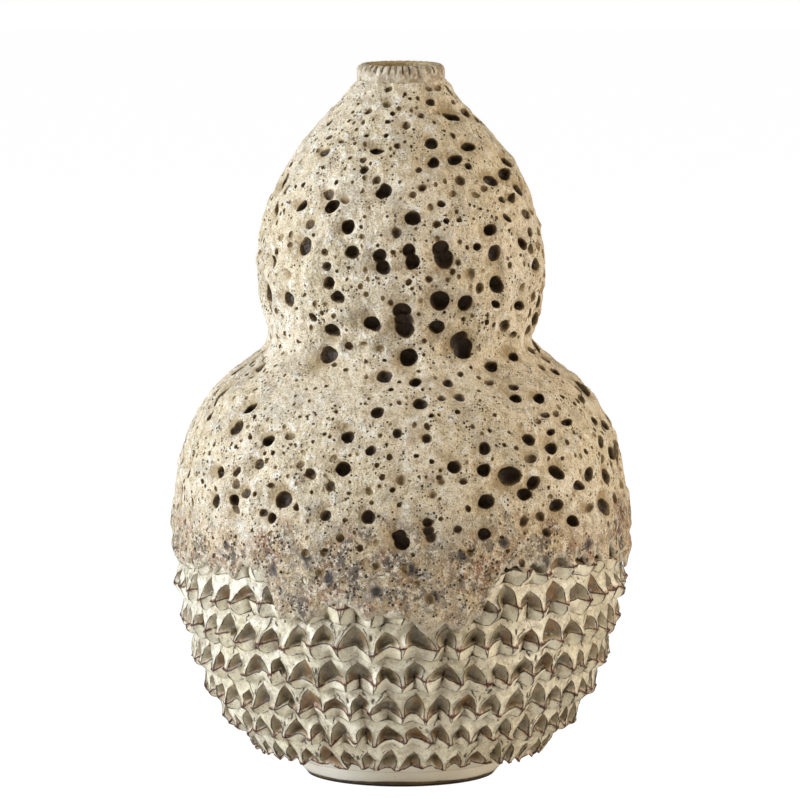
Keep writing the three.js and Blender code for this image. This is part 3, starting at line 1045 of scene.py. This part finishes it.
def funnels(azimuth, height):
    """How far the skin is drawn in beside the larger craters, less their raised rims."""
    sunk = np.zeros(np.broadcast(azimuth, height).shape)
    raised = np.zeros_like(sunk)
    radius = outer_radius(height)
    for number in np.flatnonzero(CRATERS[:, 2] > FUNNEL_LEAST_WIDTH):
        center, middle, width, tall = CRATERS[number]
        near = np.abs(height - middle) < 2 * tall
        if not near.any():
            continue
        turn = math.pi + 2.6 * (float(cell_number(np.array([number, 0, 0]), 14)) - 0.5)
        across = turn_between(azimuth, center) * radius / width
        along = (height - middle) / tall
        away = np.hypot(
            across - FUNNEL_ASIDE * math.cos(turn), along - FUNNEL_ASIDE * math.sin(turn))
        sunk = np.maximum(sunk, near * FUNNEL_DEPTH * width * np.exp(-(away * 1.2) ** 2.6))
        rim = np.exp(-((np.hypot(across, along) - RIM_DISTANCE) / 0.16) ** 2)
        raised = np.maximum(raised, near * RIM_HEIGHT * width * rim)
    return sunk - raised * (1 - step(122, 128, radius))


print(int(np.sum(CRATERS[:, 2] > FUNNEL_LEAST_WIDTH)), "craters have a funnel")


# %% The inside and the rows of a shell
def inner_radius(height):
    thickness = SHELL * np.hypot(1, outline_slope(height))
    return np.maximum(outer_radius(height) - thickness, MOUTH_RADIUS)


def heights_between(low, high, spacing):
    """Heights that lie evenly spaced along the outline."""
    fine = np.linspace(low, high, 400)
    steps = np.hypot(np.diff(outer_radius(fine)), np.diff(fine))
    along = np.concatenate([[0], np.cumsum(steps)])
    count = max(int(along[-1] / spacing), 2)
    return np.interp(np.linspace(0, along[-1], count + 1), along, fine)


print("inside at the waist", np.round(inner_radius(WAIST_HEIGHT), 1))

# %% [markdown]
# ## Burst bubbles
# Each crater is cut away as a slightly crooked ball, sunk so that the skin overhangs it a little,
# as a burst bubble leaves it. The balls are cut a few hundred at a time. Balls that touch each
# other go into different cuts, so that neighbouring craters open into one another cleanly. A
# small ball can lie wholly inside a thick place and leave a shut bubble, which is taken out.

# %% Crooked balls
BALL_STEPS = (2, 3, 4)
BALL_LIMITS = (2.4, 7.0)
SMALL_AREA = 49
BALL_SPREAD = 0.53
BALL_DEPTH = 0.62
BALL_SINK = 0.3


def unit_ball(subdivisions):
    bpy.ops.object.select_all(action="DESELECT")
    bpy.ops.mesh.primitive_ico_sphere_add(subdivisions=subdivisions, radius=1)
    ball = bpy.context.object
    points = np.empty(len(ball.data.vertices) * 3, np.float32)
    ball.data.vertices.foreach_get("co", points)
    corners = np.empty(len(ball.data.polygons) * 3, np.int32)
    ball.data.polygons.foreach_get("vertices", corners)
    bpy.ops.object.delete()
    return points.reshape(-1, 3).astype(float), corners.reshape(-1, 3)


UNIT_BALLS = [unit_ball(steps) for steps in BALL_STEPS]
print("balls of", [len(faces) for _, faces in UNIT_BALLS], "faces")


# %% One crater's ball
def crooked_ball(number, crater, depth_limit):
    """Points and faces of the ball that leaves one crater."""
    azimuth, height, width, tall = crater
    points, faces = UNIT_BALLS[int(np.searchsorted(BALL_LIMITS, width))]
    crooked = 1 + 0.2 * noise(points + number * 7.3, 1.1, 11)
    crooked += 0.05 * noise(points + number * 3.1, 0.5, 12)
    own = [float(cell_number(np.array([number, 0, 0]), seed)) for seed in (13, 15)]
    shallow = 0.45 + 0.55 * own[0] if width * tall < SMALL_AREA else 1
    half_depth = min(BALL_DEPTH * width, depth_limit) * shallow
    local = points * crooked[:, None] * [BALL_SPREAD * width, half_depth, BALL_SPREAD * tall]
    turn = 1.2 * (own[1] - 0.5)
    across, along_hole = local[:, 0].copy(), local[:, 2].copy()
    local[:, 0] = across * math.cos(turn) - along_hole * math.sin(turn)
    local[:, 2] = across * math.sin(turn) + along_hole * math.cos(turn)
    lean = math.atan(float(outline_slope(height)))
    side = np.array([-math.cos(azimuth), -math.sin(azimuth), 0])
    out = np.array([math.sin(azimuth), -math.cos(azimuth), 0])
    up = np.array([0, 0, 1.0])
    normal = out * math.cos(lean) - up * math.sin(lean)
    along = out * math.sin(lean) + up * math.cos(lean)
    skin = float(skin_radius(np.array([azimuth]), np.array([height]))[0])
    center = out * skin + up * height - normal * BALL_SINK * half_depth
    return center + local @ np.array([side, normal, along]), faces


sample = crooked_ball(0, CRATERS[0], 6)[0]
print("the first ball is", np.ptp(sample, axis=0).round(1), "mm")


# %% Cuts
def drop_loose_bits(body):
    """Keeps the part of a piece that holds its widest point, without crumbs and shut bubbles."""
    before = len(body.data.polygons)
    bpy.ops.object.mode_set(mode="EDIT")
    bpy.ops.mesh.select_mode(type="VERT")
    bpy.ops.mesh.select_all(action="DESELECT")
    bpy.ops.object.mode_set(mode="OBJECT")
    body.data.vertices[int(np.argmax(places_of(body)[0]))].select = True
    bpy.ops.object.mode_set(mode="EDIT")
    bpy.ops.mesh.select_linked()
    bpy.ops.mesh.select_all(action="INVERT")
    bpy.ops.mesh.delete(type="VERT")
    bpy.ops.object.mode_set(mode="OBJECT")
    print(f"{body.name}: {before - len(body.data.polygons)} loose faces taken away")


def cut_craters(body, low, high, depth_limit):
    """Cuts every crater that reaches into a band of heights out of a piece."""
    chosen = [
        (number, crater) for number, crater in enumerate(CRATERS)
        if crater[1] + crater[3] > low and crater[1] - crater[3] < high
    ]
    batches = []
    for number, crater in chosen:
        points, faces = crooked_ball(number, crater, depth_limit)
        center = points.mean(axis=0)
        reach = np.linalg.norm(points - center, axis=1).max()
        for batch in batches:
            gaps = np.linalg.norm(np.array([c for c, *_ in batch]) - center, axis=1)
            if np.all(gaps > reach + np.array([r for _, r, *_ in batch])):
                batch.append((center, reach, points, faces))
                break
        else:
            batches.append([(center, reach, points, faces)])
    for batch in batches:
        starts = np.cumsum([0, *(len(points) for _, _, points, _ in batch)])
        corners = np.concatenate([faces + start for (*_, faces), start in zip(batch, starts)])
        points = np.concatenate([points for _, _, points, _ in batch])
        mesh = bpy.data.meshes.new("balls")
        mesh.from_pydata((points * MM).tolist(), [], corners.tolist())
        balls = bpy.data.objects.new("balls", mesh)
        bpy.context.collection.objects.link(balls)
        cut_or_join(body, balls, "DIFFERENCE")
    drop_loose_bits(body)
    print(f"{body.name}: {len(chosen)} craters in {len(batches)} cuts")


# %% [markdown]
# ## The cratered shells
# The shoulder of the lower bulb, the two halves of the upper bulb and the neck are shells of one
# build. The shoulder is made in two rings only to keep each mesh light.

# %% Burnt spots
# Azimuth in degrees, height and radius, where the thin glaze has charred
BURNS = [
    (8, 118, 4.5), (2, 134, 5), (-33, 131, 5), (-18, 128, 4), (-6, 121, 4), (38, 133, 5),
    (54, 140, 4), (15, 141, 4), (-48, 141, 3), (-24, 139, 4), (26, 146, 4), (100, 132, 5),
    (135, 138, 5), (170, 130, 6), (-150, 136, 5), (-115, 130, 5), (-85, 139, 5),
]


def burn(azimuth, height):
    charred = np.zeros(np.broadcast(azimuth, height).shape)
    for degrees, middle, size in BURNS:
        aside = turn_between(azimuth, math.radians(degrees)) * BELLY_RADIUS
        charred = np.maximum(charred, np.exp(-(np.hypot(aside, height - middle) / size) ** 2))
    return charred


print(len(BURNS), "burnt spots")


# %% Shells under crater glaze
SHELL_CRATER_DEPTH = 5.6
FUNNEL_SHADE = 0.74
INSIDE_ROWS = 8


def neck_tuck(height):
    """How far the neck draws in under the lip."""
    return 1.7 * step(NECK_HEIGHT - 3.5, NECK_HEIGHT, height)


def cratered_shell(name, low, high, columns, spacing, *nodes):
    heights = heights_between(low, high, spacing)
    azimuths = columns_round(columns)
    outside = skin_radius(azimuths, heights[None, :]) - funnels(azimuths, heights[None, :])
    outside = np.minimum(outside, BELLY_RADIUS - 0.1) - neck_tuck(heights)
    inside_heights = np.linspace(high, low, INSIDE_ROWS)
    inside = np.broadcast_to(inner_radius(inside_heights), (columns, INSIDE_ROWS))
    radii = np.hstack([outside, inside])
    places = on_axis(radii, azimuths, np.concatenate([heights, inside_heights])[None, :])
    body = ring_body(name, places)
    cut_craters(body, low, high, SHELL_CRATER_DEPTH)
    radius, azimuth, height = places_of(body)
    sunk = skin_radius(azimuth, height) - FUNNEL_SHADE * funnels(azimuth, height) - radius
    sunk = sunk - neck_tuck(height)
    carry(body, "depth", np.where(radius < inner_radius(height) + 0.3, LINER_DEPTH, sunk))
    carry(body, "burn", burn(azimuth, height))
    finish_piece(body, CRATER_GLAZE, "crater_glaze", *nodes)


SHOULDER_SPLIT = 190
BAND_COLUMNS = 620
cratered_shell("shoulder_band", BELT_TOP, SHOULDER_SPLIT, BAND_COLUMNS, 1.25, "lower_shoulder")
cratered_shell("shoulder_slope", SHOULDER_SPLIT, WAIST_HEIGHT, 520, 1.4, "lower_shoulder")

# %% The upper bulb
cratered_shell("upper_bowl_skin", WAIST_HEIGHT, UPPER_SEAM, 420, 1.15, "upper_bowl")
cratered_shell("upper_dome_skin", UPPER_SEAM, NECK_SEAM, 375, 1.3, "upper_dome")

# %% The neck
cratered_shell("neck_skin", NECK_SEAM, NECK_HEIGHT, 260, 0.8, "neck")

# %% [markdown]
# ## Lip
# The lip is a small collar. Its edge was cut all round with a tool into a ring of small radial
# nicks, and the glaze is painted darker brown along each nick. The mouth is a plain hole with a
# softened rim.

# %% Nicked lip
NICKS = 34
NICK_DEPTH = 1.1


def nick_depth(azimuths):
    """1 in the middle of a nick and 0 between nicks, unevenly spaced."""
    uneven = azimuths + 0.05 * np.sin(3 * azimuths + 1) + 0.03 * np.sin(7 * azimuths)
    turn = uneven * NICKS / (2 * math.pi)
    number = np.floor(turn)
    cells = np.stack([number % NICKS, number * 0, number * 0], axis=-1)
    deep = 0.35 + 0.65 * cell_number(cells, 21)
    return deep * np.clip(1 - np.abs(turn - number - 0.5) / 0.27, 0, 1) ** 0.8


def nicked_lip():
    azimuths = columns_round(NICKS * 12)
    seat = NECK_HEIGHT
    section = [(LIP_RADIUS - 0.2, seat + rise) for rise in (0, 0.8, 1.6, 2.4, 3.2, 4)]
    section += [
        (LIP_RADIUS - 4.6 + 4.4 * math.cos(a), VASE_HEIGHT - 4 + 4 * math.sin(a))
        for a in np.linspace(0, math.pi / 2, 12)
    ]
    section += [
        (MOUTH_RADIUS + 1.6 - 1.6 * math.sin(a), VASE_HEIGHT - 1.6 + 1.6 * math.cos(a))
        for a in np.linspace(0.2, math.pi / 2, 7)
    ]
    section += [(MOUTH_RADIUS, seat + 4), (MOUTH_RADIUS, seat)]
    radii, heights = np.array(section).T
    nick = nick_depth(azimuths)
    points = on_axis(radii, azimuths, heights)
    start = seat + 3.2 + 2.2 * noise(points, 5, 32)
    rim = step(0, 2.5, heights - start) * step(MOUTH_RADIUS + 0.8, MOUTH_RADIUS + 3, radii)
    sunk = nick * rim * NICK_DEPTH
    lumps = 0.35 * noise(points, 6, 31) + 0.3 * noise(points, 2.5, 33)
    wobble = (lumps - 0.4) * step(MOUTH_RADIUS + 0.5, LIP_RADIUS, radii)
    new_radii = radii - sunk + wobble
    new_heights = heights - sunk * 0.8 * step(seat + 4, VASE_HEIGHT, heights)
    places = on_axis(new_radii, azimuths, new_heights)
    inside = step(MOUTH_RADIUS + 1.4, MOUTH_RADIUS + 0.3, radii)[None, :]
    body = ring_body("lip", places, nick=nick * rim, depth=inside)
    finish_piece(body, LIP_GLAZE, "lip_glaze", "notched_lip", angle=50)


nicked_lip()

# %% [markdown]
# ## The belt of thorns
# A thorn is made with two fingers. The soft wall is pinched and pulled out and a little down, so
# between two peaks there is an arched pocket with a sharp lip under it, over each peak a rib that
# widens upwards, and below it two rounded lobes. Seven courses of thorns go round, and they stand
# in columns. The mesh's columns follow the edges of the pockets, which keeps the creases crisp.

# %% The line of the tips
BELT_BOTTOM = 12.0
COURSES = 7
THORN_COUNTS = (44, 46, 46, 46, 46, 46, 46)
THORN_HEIGHT = 9.0


def tip_line():
    """Points and outward normals evenly along the line where the thorns' tips lie."""
    drop, wide = BELLY_HEIGHT - ROOT_HEIGHT, BELLY_RADIUS - ROOT_RADIUS
    start, end = (math.asin((BELLY_HEIGHT - z) / drop) for z in (BELT_BOTTOM, BELT_TOP))
    angle = np.linspace(start, end, 3000)
    line = np.stack([ROOT_RADIUS + wide * np.cos(angle), BELLY_HEIGHT - drop * np.sin(angle)], 1)
    normal = np.stack([drop * np.cos(angle), -wide * np.sin(angle)], 1)
    normal /= np.linalg.norm(normal, axis=1)[:, None]
    along = np.concatenate([[0], np.cumsum(np.linalg.norm(np.diff(line, axis=0), axis=1))])
    return along, line, normal


ALONG, TIP_LINE, TIP_NORMAL = tip_line()
COURSE_HEIGHT = ALONG[-1] / COURSES


def belt_place(position, proud):
    """Radius and height of a point at a position along the belt, so far out from the wall."""
    place = [np.interp(position, ALONG, TIP_LINE[:, i]) for i in range(2)]
    normal = [np.interp(position, ALONG, TIP_NORMAL[:, i]) for i in range(2)]
    return [p + (proud - THORN_HEIGHT) * n for p, n in zip(place, normal)]


print("each course is", round(COURSE_HEIGHT, 1), "mm high")

# %% [markdown]
# The crater glaze ran down over the top courses and stopped at an uneven edge. It hangs lowest at
# the front, a little right of the middle. What it covers sticks out less.

# %% Edge of the glaze that ran over the thorns
APRON_EDGE = [
    (-180, 118), (-150, 127), (-120, 112), (-95, 126), (-70, 125), (-50, 123), (-44, 129),
    (-38, 129), (-32, 106), (-20, 105), (-15, 116), (-11, 110), (-5, 104), (10, 102), (20, 104),
    (24, 126), (27, 130), (40, 131), (62, 131), (85, 121), (110, 128), (140, 110), (165, 121),
    (180, 118),
]


def apron_edge(azimuth):
    """Height of the lower edge of the crater glaze."""
    degrees, heights = np.array(APRON_EDGE, float).T
    turned = (np.degrees(azimuth) + 180) % 360 - 180
    plain = np.interp(turned, degrees, heights)
    points = on_axis(BELLY_RADIUS, azimuth, 0 * azimuth)
    drips = 3.2 * noise(points, 13, 41) + 3.0 * noise(points, 5, 42) + 1.3 * noise(points, 2.2, 43)
    return np.minimum(plain + drips - 1.6 * np.cos(azimuth * THORN_COUNTS[5]), BELLY_HEIGHT)


print("its lowest place is at", round(float(apron_edge(columns_round(360)).min()), 1), "mm")


# %% [markdown]
# Each thorn takes numbers of its own from the noise: how high, wide and crooked it is. The pocket
# and the fold between two thorns belong to both, so these numbers are the same for both. A course
# is a grid. Its rows climb the lobes from 0 to 1 and then the ribs and pockets from 0 to 1.

# %% The grid of one course
FACET_STEPS = (0.35, 0.7, 0.93)
HOLLOW_STEPS = (0, 0.07, 0.16, 0.3, 0.5, 0.75)
LOBE_ROWS = (0, 0.03, 0.08, 0.16, 0.28, 0.42, 0.56, 0.7, 0.82, 0.91, 0.97)
RIB_ROWS = (0, 0.03, 0.07, 0.12, 0.18, 0.26, 0.36, 0.47, 0.58, 0.69, 0.8, 0.89, 0.95, 1)


class Course:
    """The columns and rows of one course, and the numbers that its thorns have of their own."""

    def __init__(self, place):
        right = [(1, share, 0) for share in FACET_STEPS] + [(1, 1, share) for share in HOLLOW_STEPS]
        left = [(-side, facet, hollow) for side, facet, hollow in reversed(right)]
        columns = np.array([*left, (0, 0, 0), *right, (1, 1, 1)], float).T
        self.place = place
        self.thorns = THORN_COUNTS[place]
        self.number = np.repeat(np.arange(self.thorns), columns.shape[1])[:, None]
        self.side, self.facet, self.hollow = (
            np.tile(column, self.thorns)[:, None] for column in columns)
        lobe, rise = np.array([LOBE_ROWS]), np.array([RIB_ROWS])
        self.lobe = np.concatenate([lobe, 0 * rise + 1], axis=1)
        self.rise = np.concatenate([0 * lobe, rise], axis=1)
        self.peak = self.own(50, 0.06, 0.2) if place == 0 else self.own(50, 0.27, 0.46)
        self.up = self.lobe * self.peak + self.rise * (1 - self.peak)

    def own(self, seed, low, high, aside=0):
        """A number between two for each thorn."""
        number = self.number + aside
        cells = np.stack([number % self.thorns, number * 0 + self.place, number * 0], axis=-1)
        return low + (high - low) * cell_number(cells, seed)

    def shared(self, seed, low, high):
        """A number between two for each pocket, the same for the thorns on its two sides."""
        return self.own(seed, low, high, self.side >= 0)


print("a course has", Course(COURSES - 1).lobe.shape[1], "rows")


# %% The arch of a pocket
def arches(course):
    """How far the pockets have closed, half the width of the ribs, and the place across."""
    narrow = course.own(51, 0.04, 0.13)
    close = course.shared(52, 0.55, 0.85)
    closing = np.clip(course.rise / close, 0, 1)
    arch = (1 - closing ** course.own(53, 2.0, 3.6)) ** 0.52
    width = narrow * course.lobe ** 2 + (0.492 - narrow) * (1 - arch) * (course.rise > 0)
    across = course.side * (course.facet * width + course.hollow * (0.5 - width))
    return close, closing, width, across


closes = arches(Course(COURSES // 2))[0]
print("pockets close", closes.min().round(2), "to", closes.max().round(2), "of the way up")


# %% How far the points of a thorn stand out
def relief(course, closing, across):
    """How far each point stands out from the wall, and how deep its fold is, in millimetres."""
    own, shared, rise = course.own, course.shared, course.rise
    rib = 1.6 + 1.9 * np.clip(1 - (2 * np.abs(across)) ** 1.5, 0, 1)
    height = THORN_HEIGHT * own(54, 0.8, 0.965)
    lip_middle = shared(55, 2.6, 6.4)
    if course.place == 0:
        lip_middle = lip_middle * 0.4 + 4.6
    floor = shared(56, 0.4, 1.4)
    drop = 1 - (1 - course.hollow) ** 2.8

    facet = height - (height - rib) * rise ** own(61, 0.5, 0.85)
    facet = facet - own(62, 0.2, 1.3) * (1 - course.facet ** 2) * np.sin(math.pi * rise)
    crooked = course.side * course.facet * np.sin(math.pi * rise ** 0.7)
    facet = facet + own(63, -0.9, 0.9) * crooked
    fence = np.exp(-(rise / 0.075) ** 2)
    pocket = floor + (facet - floor) * closing ** 3 + (lip_middle - floor) * fence

    lip = height * (1 - drop) + lip_middle * drop
    lobes = rib + (lip - rib) * course.lobe ** own(71, 0.7, 1.2)
    keel = np.clip(1 - np.abs(across) / 0.2, 0, 1) * np.sin(math.pi * course.lobe)
    lobes = lobes + own(64, 0.2, 1.8) * keel
    proud = np.where(rise > 0, facet * (1 - drop) + pocket * drop, lobes)

    fold = np.maximum(shared(57, -1.6, 4.2), 0)
    near_fold = np.exp(-((0.5 - np.abs(across)) / shared(68, 0.04, 0.12)) ** 2)
    return proud - fold * near_fold * step(0.4, 0.1, rise), fold


sample = Course(COURSES // 2)
_, closing, _, across = arches(sample)
print("thorns stand out up to", relief(sample, closing, across)[0].max().round(1), "mm")


# %% Where the points of a course lie
def sway_of(course, across):
    """How each thorn leans aside, and how it droops, as an azimuth and a length."""
    bell = np.exp(-((course.up - course.peak) / 0.28) ** 2)
    middle = 1 - (2 * np.abs(across)) ** 2
    ring = on_axis(14, course.number * 2 * math.pi / course.thorns,
                   course.number * 0 + course.place * 6)
    lean = course.own(58, -0.2, 0.2) + 0.16 * noise(ring, 6, 69)
    tilt = course.shared(73, -0.17, 0.17) * (1 - middle) * np.sin(math.pi * course.rise)
    turn = course.number + across + lean * middle * bell + tilt
    return 2 * math.pi * turn / course.thorns, course.own(59, -1.4, 1.4) * middle * bell


def seam(boundary, azimuth):
    """The wavering line between two courses, as a position along the belt."""
    thorns = THORN_COUNTS[min(boundary, COURSES - 1)]
    points = on_axis(BELLY_RADIUS, azimuth, boundary * COURSE_HEIGHT)
    arcs = -0.9 * np.cos(azimuth * thorns) * (boundary < COURSES)
    return boundary * COURSE_HEIGHT + arcs + 1.9 * noise(points, 15, 65)


def places_in(course, across, proud):
    """The points in front, those of the plain back, and how proud the front ones now are."""
    azimuth, droop = sway_of(course, across)
    low, high = seam(course.place, azimuth), seam(course.place + 1, azimuth)
    position = low * (1 - course.up) + high * course.up + droop
    radius, level = belt_place(position, 0 * position + THORN_HEIGHT)
    points = on_axis(radius, azimuth, level)
    proud = proud + 0.9 * noise(points, 9, 66) + 0.6 * noise(points, 3.5, 67)
    covered = step(-3.5, 1.5, level - apron_edge(azimuth))
    proud = np.clip(proud, 0.5, 8.75 - 2.7 * covered)
    radius, level = belt_place(position, proud)

    back = np.array([[1.0, 0.66, 0.33, 0.0]])
    back_radius, back_level = belt_place((course.place + back) * COURSE_HEIGHT, 0 * back + 0.3)
    plain = 2 * math.pi * (course.number + across[:, -1:]) / course.thorns
    behind = on_axis(back_radius, plain + 0 * back, back_level + 0 * plain)
    return np.concatenate([on_axis(radius, azimuth, level), behind], axis=1), radius, proud


print("a seam wavers over", np.ptp(seam(1, columns_round(360))).round(1), "mm")


# %% The courses of thorns
def course_of_thorns(place):
    course = Course(place)
    close, closing, width, across = arches(course)
    proud, fold = relief(course, closing, across)
    places, radius, proud = places_in(course, across, proud)
    pitch = 2 * math.pi * radius.mean() / course.thorns
    above = (course.up - course.peak) * COURSE_HEIGHT
    closed = np.maximum(course.rise - close, 0) * (1 - course.peak) * COURSE_HEIGHT
    edge = (np.abs(across) - width) * pitch - closed
    crease = (0.5 - np.abs(across)) * pitch + 40 * np.maximum(course.rise - 0.25, 0)
    crease = np.minimum(crease + 6 * (fold < 0.9), course.up * COURSE_HEIGHT)

    def all_rows(*parts):
        """Three values for each point, with the last front row's values on the back."""
        full = [np.broadcast_to(part, radius.shape) for part in parts]
        behind = places.shape[1] - radius.shape[1]
        padded = [np.pad(part, ((0, 0), (0, behind)), mode="edge") for part in full]
        return np.stack(padded, axis=-1)

    cell = all_rows(np.abs(across) * pitch, above, course.own(60, 0, 1))
    lines = all_rows(edge, crease, proud)
    body = ring_body(f"thorns_{place + 1}", places, cell=cell, lines=lines)
    finish_piece(body, THORN_GLAZE, "thorn_glaze", f"thorn_course_{place + 1}", angle=45)


for place in range(COURSES):
    course_of_thorns(place)

# %% [markdown]
# ## The glaze that ran over the thorns
# This is a sheet of crater glaze about two millimetres thick. It hangs from the shoulder over the
# tips of the upper courses and ends in a rounded, wandering edge.

# %% Glaze apron
APRON_THICKNESS = 2.3
APRON_COLUMNS = 920
APRON_CRATER_DEPTH = 1.9


def buried_thorns(azimuth, height):
    """The swelling of the glaze over the thorns that it covers."""
    swelling = np.zeros(np.broadcast(azimuth, height).shape) - 0.5
    for course in (5, 6):
        thorns = THORN_COUNTS[course]
        middle = belt_place((course + 0.43) * COURSE_HEIGHT, THORN_HEIGHT)[1]
        away = turn_between(azimuth * thorns, 0) / (2 * math.pi) * 17.5
        swelling += 2.0 * np.exp(-(away / 4.2) ** 2 - ((height - middle) / 5) ** 2)
    return (swelling - 0.6) * step(BELT_TOP, BELT_TOP - 8, height)


def glaze_apron():
    azimuths = columns_round(APRON_COLUMNS)
    edge = apron_edge(azimuths)
    shares = np.linspace(0, 1, 34)[None, :] ** 1.15
    heights = edge + (BELT_TOP - edge) * shares
    outside = skin_radius(azimuths, heights) + buried_thorns(azimuths, heights)
    curl = np.clip(1 - (heights - edge) / 2.2, 0, 1)
    outside = outside - (1 - np.sqrt(1 - np.minimum(curl, 0.98) ** 2)) * APRON_THICKNESS * 0.8
    inner_heights = heights[:, ::-4]
    inner = skin_radius(azimuths, inner_heights) - APRON_THICKNESS - 0.5
    places = on_axis(np.hstack([outside, inner]), azimuths, np.hstack([heights, inner_heights]))
    body = ring_body("glaze_apron", places)
    cut_craters(body, 90, BELT_TOP, APRON_CRATER_DEPTH)
    radius, azimuth, height = places_of(body)
    sunk = skin_radius(azimuth, height) + buried_thorns(azimuth, height) - radius
    above = height - apron_edge(azimuth)
    carry(body, "depth", np.clip(sunk, 0, 3) * step(1.8, 3.2, above))
    carry(body, "run_out", step(9, 0, above))
    carry(body, "burn", burn(azimuth, height))
    finish_piece(body, CRATER_GLAZE, "crater_glaze", "lower_shoulder")


glaze_apron()

# %% [markdown]
# ## Bowl wall, foot and floor
# Behind the thorns stands the plain wall of the lower bowl. All that shows of it is the smooth
# flare from the foot up to the lowest course. The foot is a low turned ring, and the floor is a
# slab set into it from above, with a shallow recess underneath.

# %% Bowl wall
TURNED_COLUMNS = 192


def bowl_wall():
    share = np.linspace(0, 1, 40)
    wall_radius, wall_height = belt_place(share * ALONG[-1], 0 * share)
    flare = np.linspace(0, 1, 12)[:-1]
    flare_radius = FOOT_TOP_RADIUS - 0.3 + (wall_radius[0] - FOOT_TOP_RADIUS + 0.3) * flare
    flare_height = FOOT_HEIGHT + (wall_height[0] - FOOT_HEIGHT) * flare ** 0.93
    inner_radius_line, inner_height = belt_place(share[::-1] * ALONG[-1], 0 * share - 7)
    keep = (inner_height > FOOT_HEIGHT + 10) & (inner_radius_line > FOOT_TOP_RADIUS - 8)
    radii = np.concatenate([flare_radius, wall_radius, inner_radius_line[keep],
                            [FOOT_TOP_RADIUS - 7, FOOT_TOP_RADIUS - 7]])
    heights = np.concatenate([flare_height, wall_height, inner_height[keep],
                              [FOOT_HEIGHT + 9.5, FOOT_HEIGHT]])
    heights = np.minimum(heights, BELT_TOP)
    body = ring_body("bowl_wall", on_axis(radii, columns_round(TURNED_COLUMNS), heights))
    finish_piece(body, FOOT_GLAZE, "liner_glaze", "lower_bowl", angle=40)


bowl_wall()


# %% Foot ring
def foot_piece():
    azimuths = columns_round(TURNED_COLUMNS)
    inner = FOOT_RADIUS - 10
    section = [(FOOT_RADIUS - 0.8, 0), (FOOT_RADIUS - 0.2, 0.2), (FOOT_RADIUS + 0.2, 0.8),
               (FOOT_RADIUS + 1.2, 2), (FOOT_RADIUS + 2.5, 3.4), (FOOT_RADIUS + 3.9, 5),
               (FOOT_RADIUS + 5.1, 6.8), (FOOT_TOP_RADIUS - 0.3, FOOT_HEIGHT),
               (inner, FOOT_HEIGHT), (inner, 0.5), (inner + 0.5, 0)]
    radii, heights = np.array(section).T
    points = on_axis(radii, azimuths, heights)
    wobble = 0.2 * noise(points, 30, 71) * (radii > FOOT_RADIUS - 2)
    body = ring_body("foot", on_axis(radii - 0.15 + wobble, azimuths, heights))
    finish_piece(body, FOOT_GLAZE, "foot_glaze", "foot_ring", angle=40)


foot_piece()


# %% Floor slab
DISC_SIDES = 128


def disc(radius, low, high):
    bpy.ops.object.select_all(action="DESELECT")
    bpy.ops.mesh.primitive_cylinder_add(
        vertices=DISC_SIDES, radius=radius * MM, depth=(high - low) * MM,
        location=(0, 0, (low + high) / 2 * MM),
    )
    bpy.ops.object.transform_apply(location=True)
    return bpy.context.object


def floor_slab():
    low, high = float(bottom_of("base_floor")[2]), float(top_of("base_floor")[2])
    slab = disc(FOOT_TOP_RADIUS - 7, FOOT_HEIGHT, high)
    spigot = disc(FOOT_RADIUS - 10.3, low, FOOT_HEIGHT + 2)
    cut_or_join(slab, spigot, "UNION")
    slab.name = "floor_slab"
    finish_piece(slab, BARE_CLAY, "bare_clay", "base_floor", angle=30)


floor_slab()

# %% [markdown]
# ## Finishes of the plain solids
# The frame's own solids stay in the file below these pieces. Each gets the finish of what it
# stands for.

# %% Finishes for the frame's solids
SOLID_FINISHES = {
    "foot_ring": FOOT_GLAZE, "base_floor": BARE_CLAY, "lower_bowl": LINER_GLAZE,
    "notched_lip": LIP_GLAZE, **{f"thorn_course_{i + 1}": THORN_GLAZE for i in range(COURSES)},
}
for name, solid in frame["nodes"].items():
    finish = SOLID_FINISHES.get(name, CRATER_GLAZE)
    solid.data.materials.clear()
    solid.data.materials.append(finish)
print("finished solids:", len(frame["nodes"]))
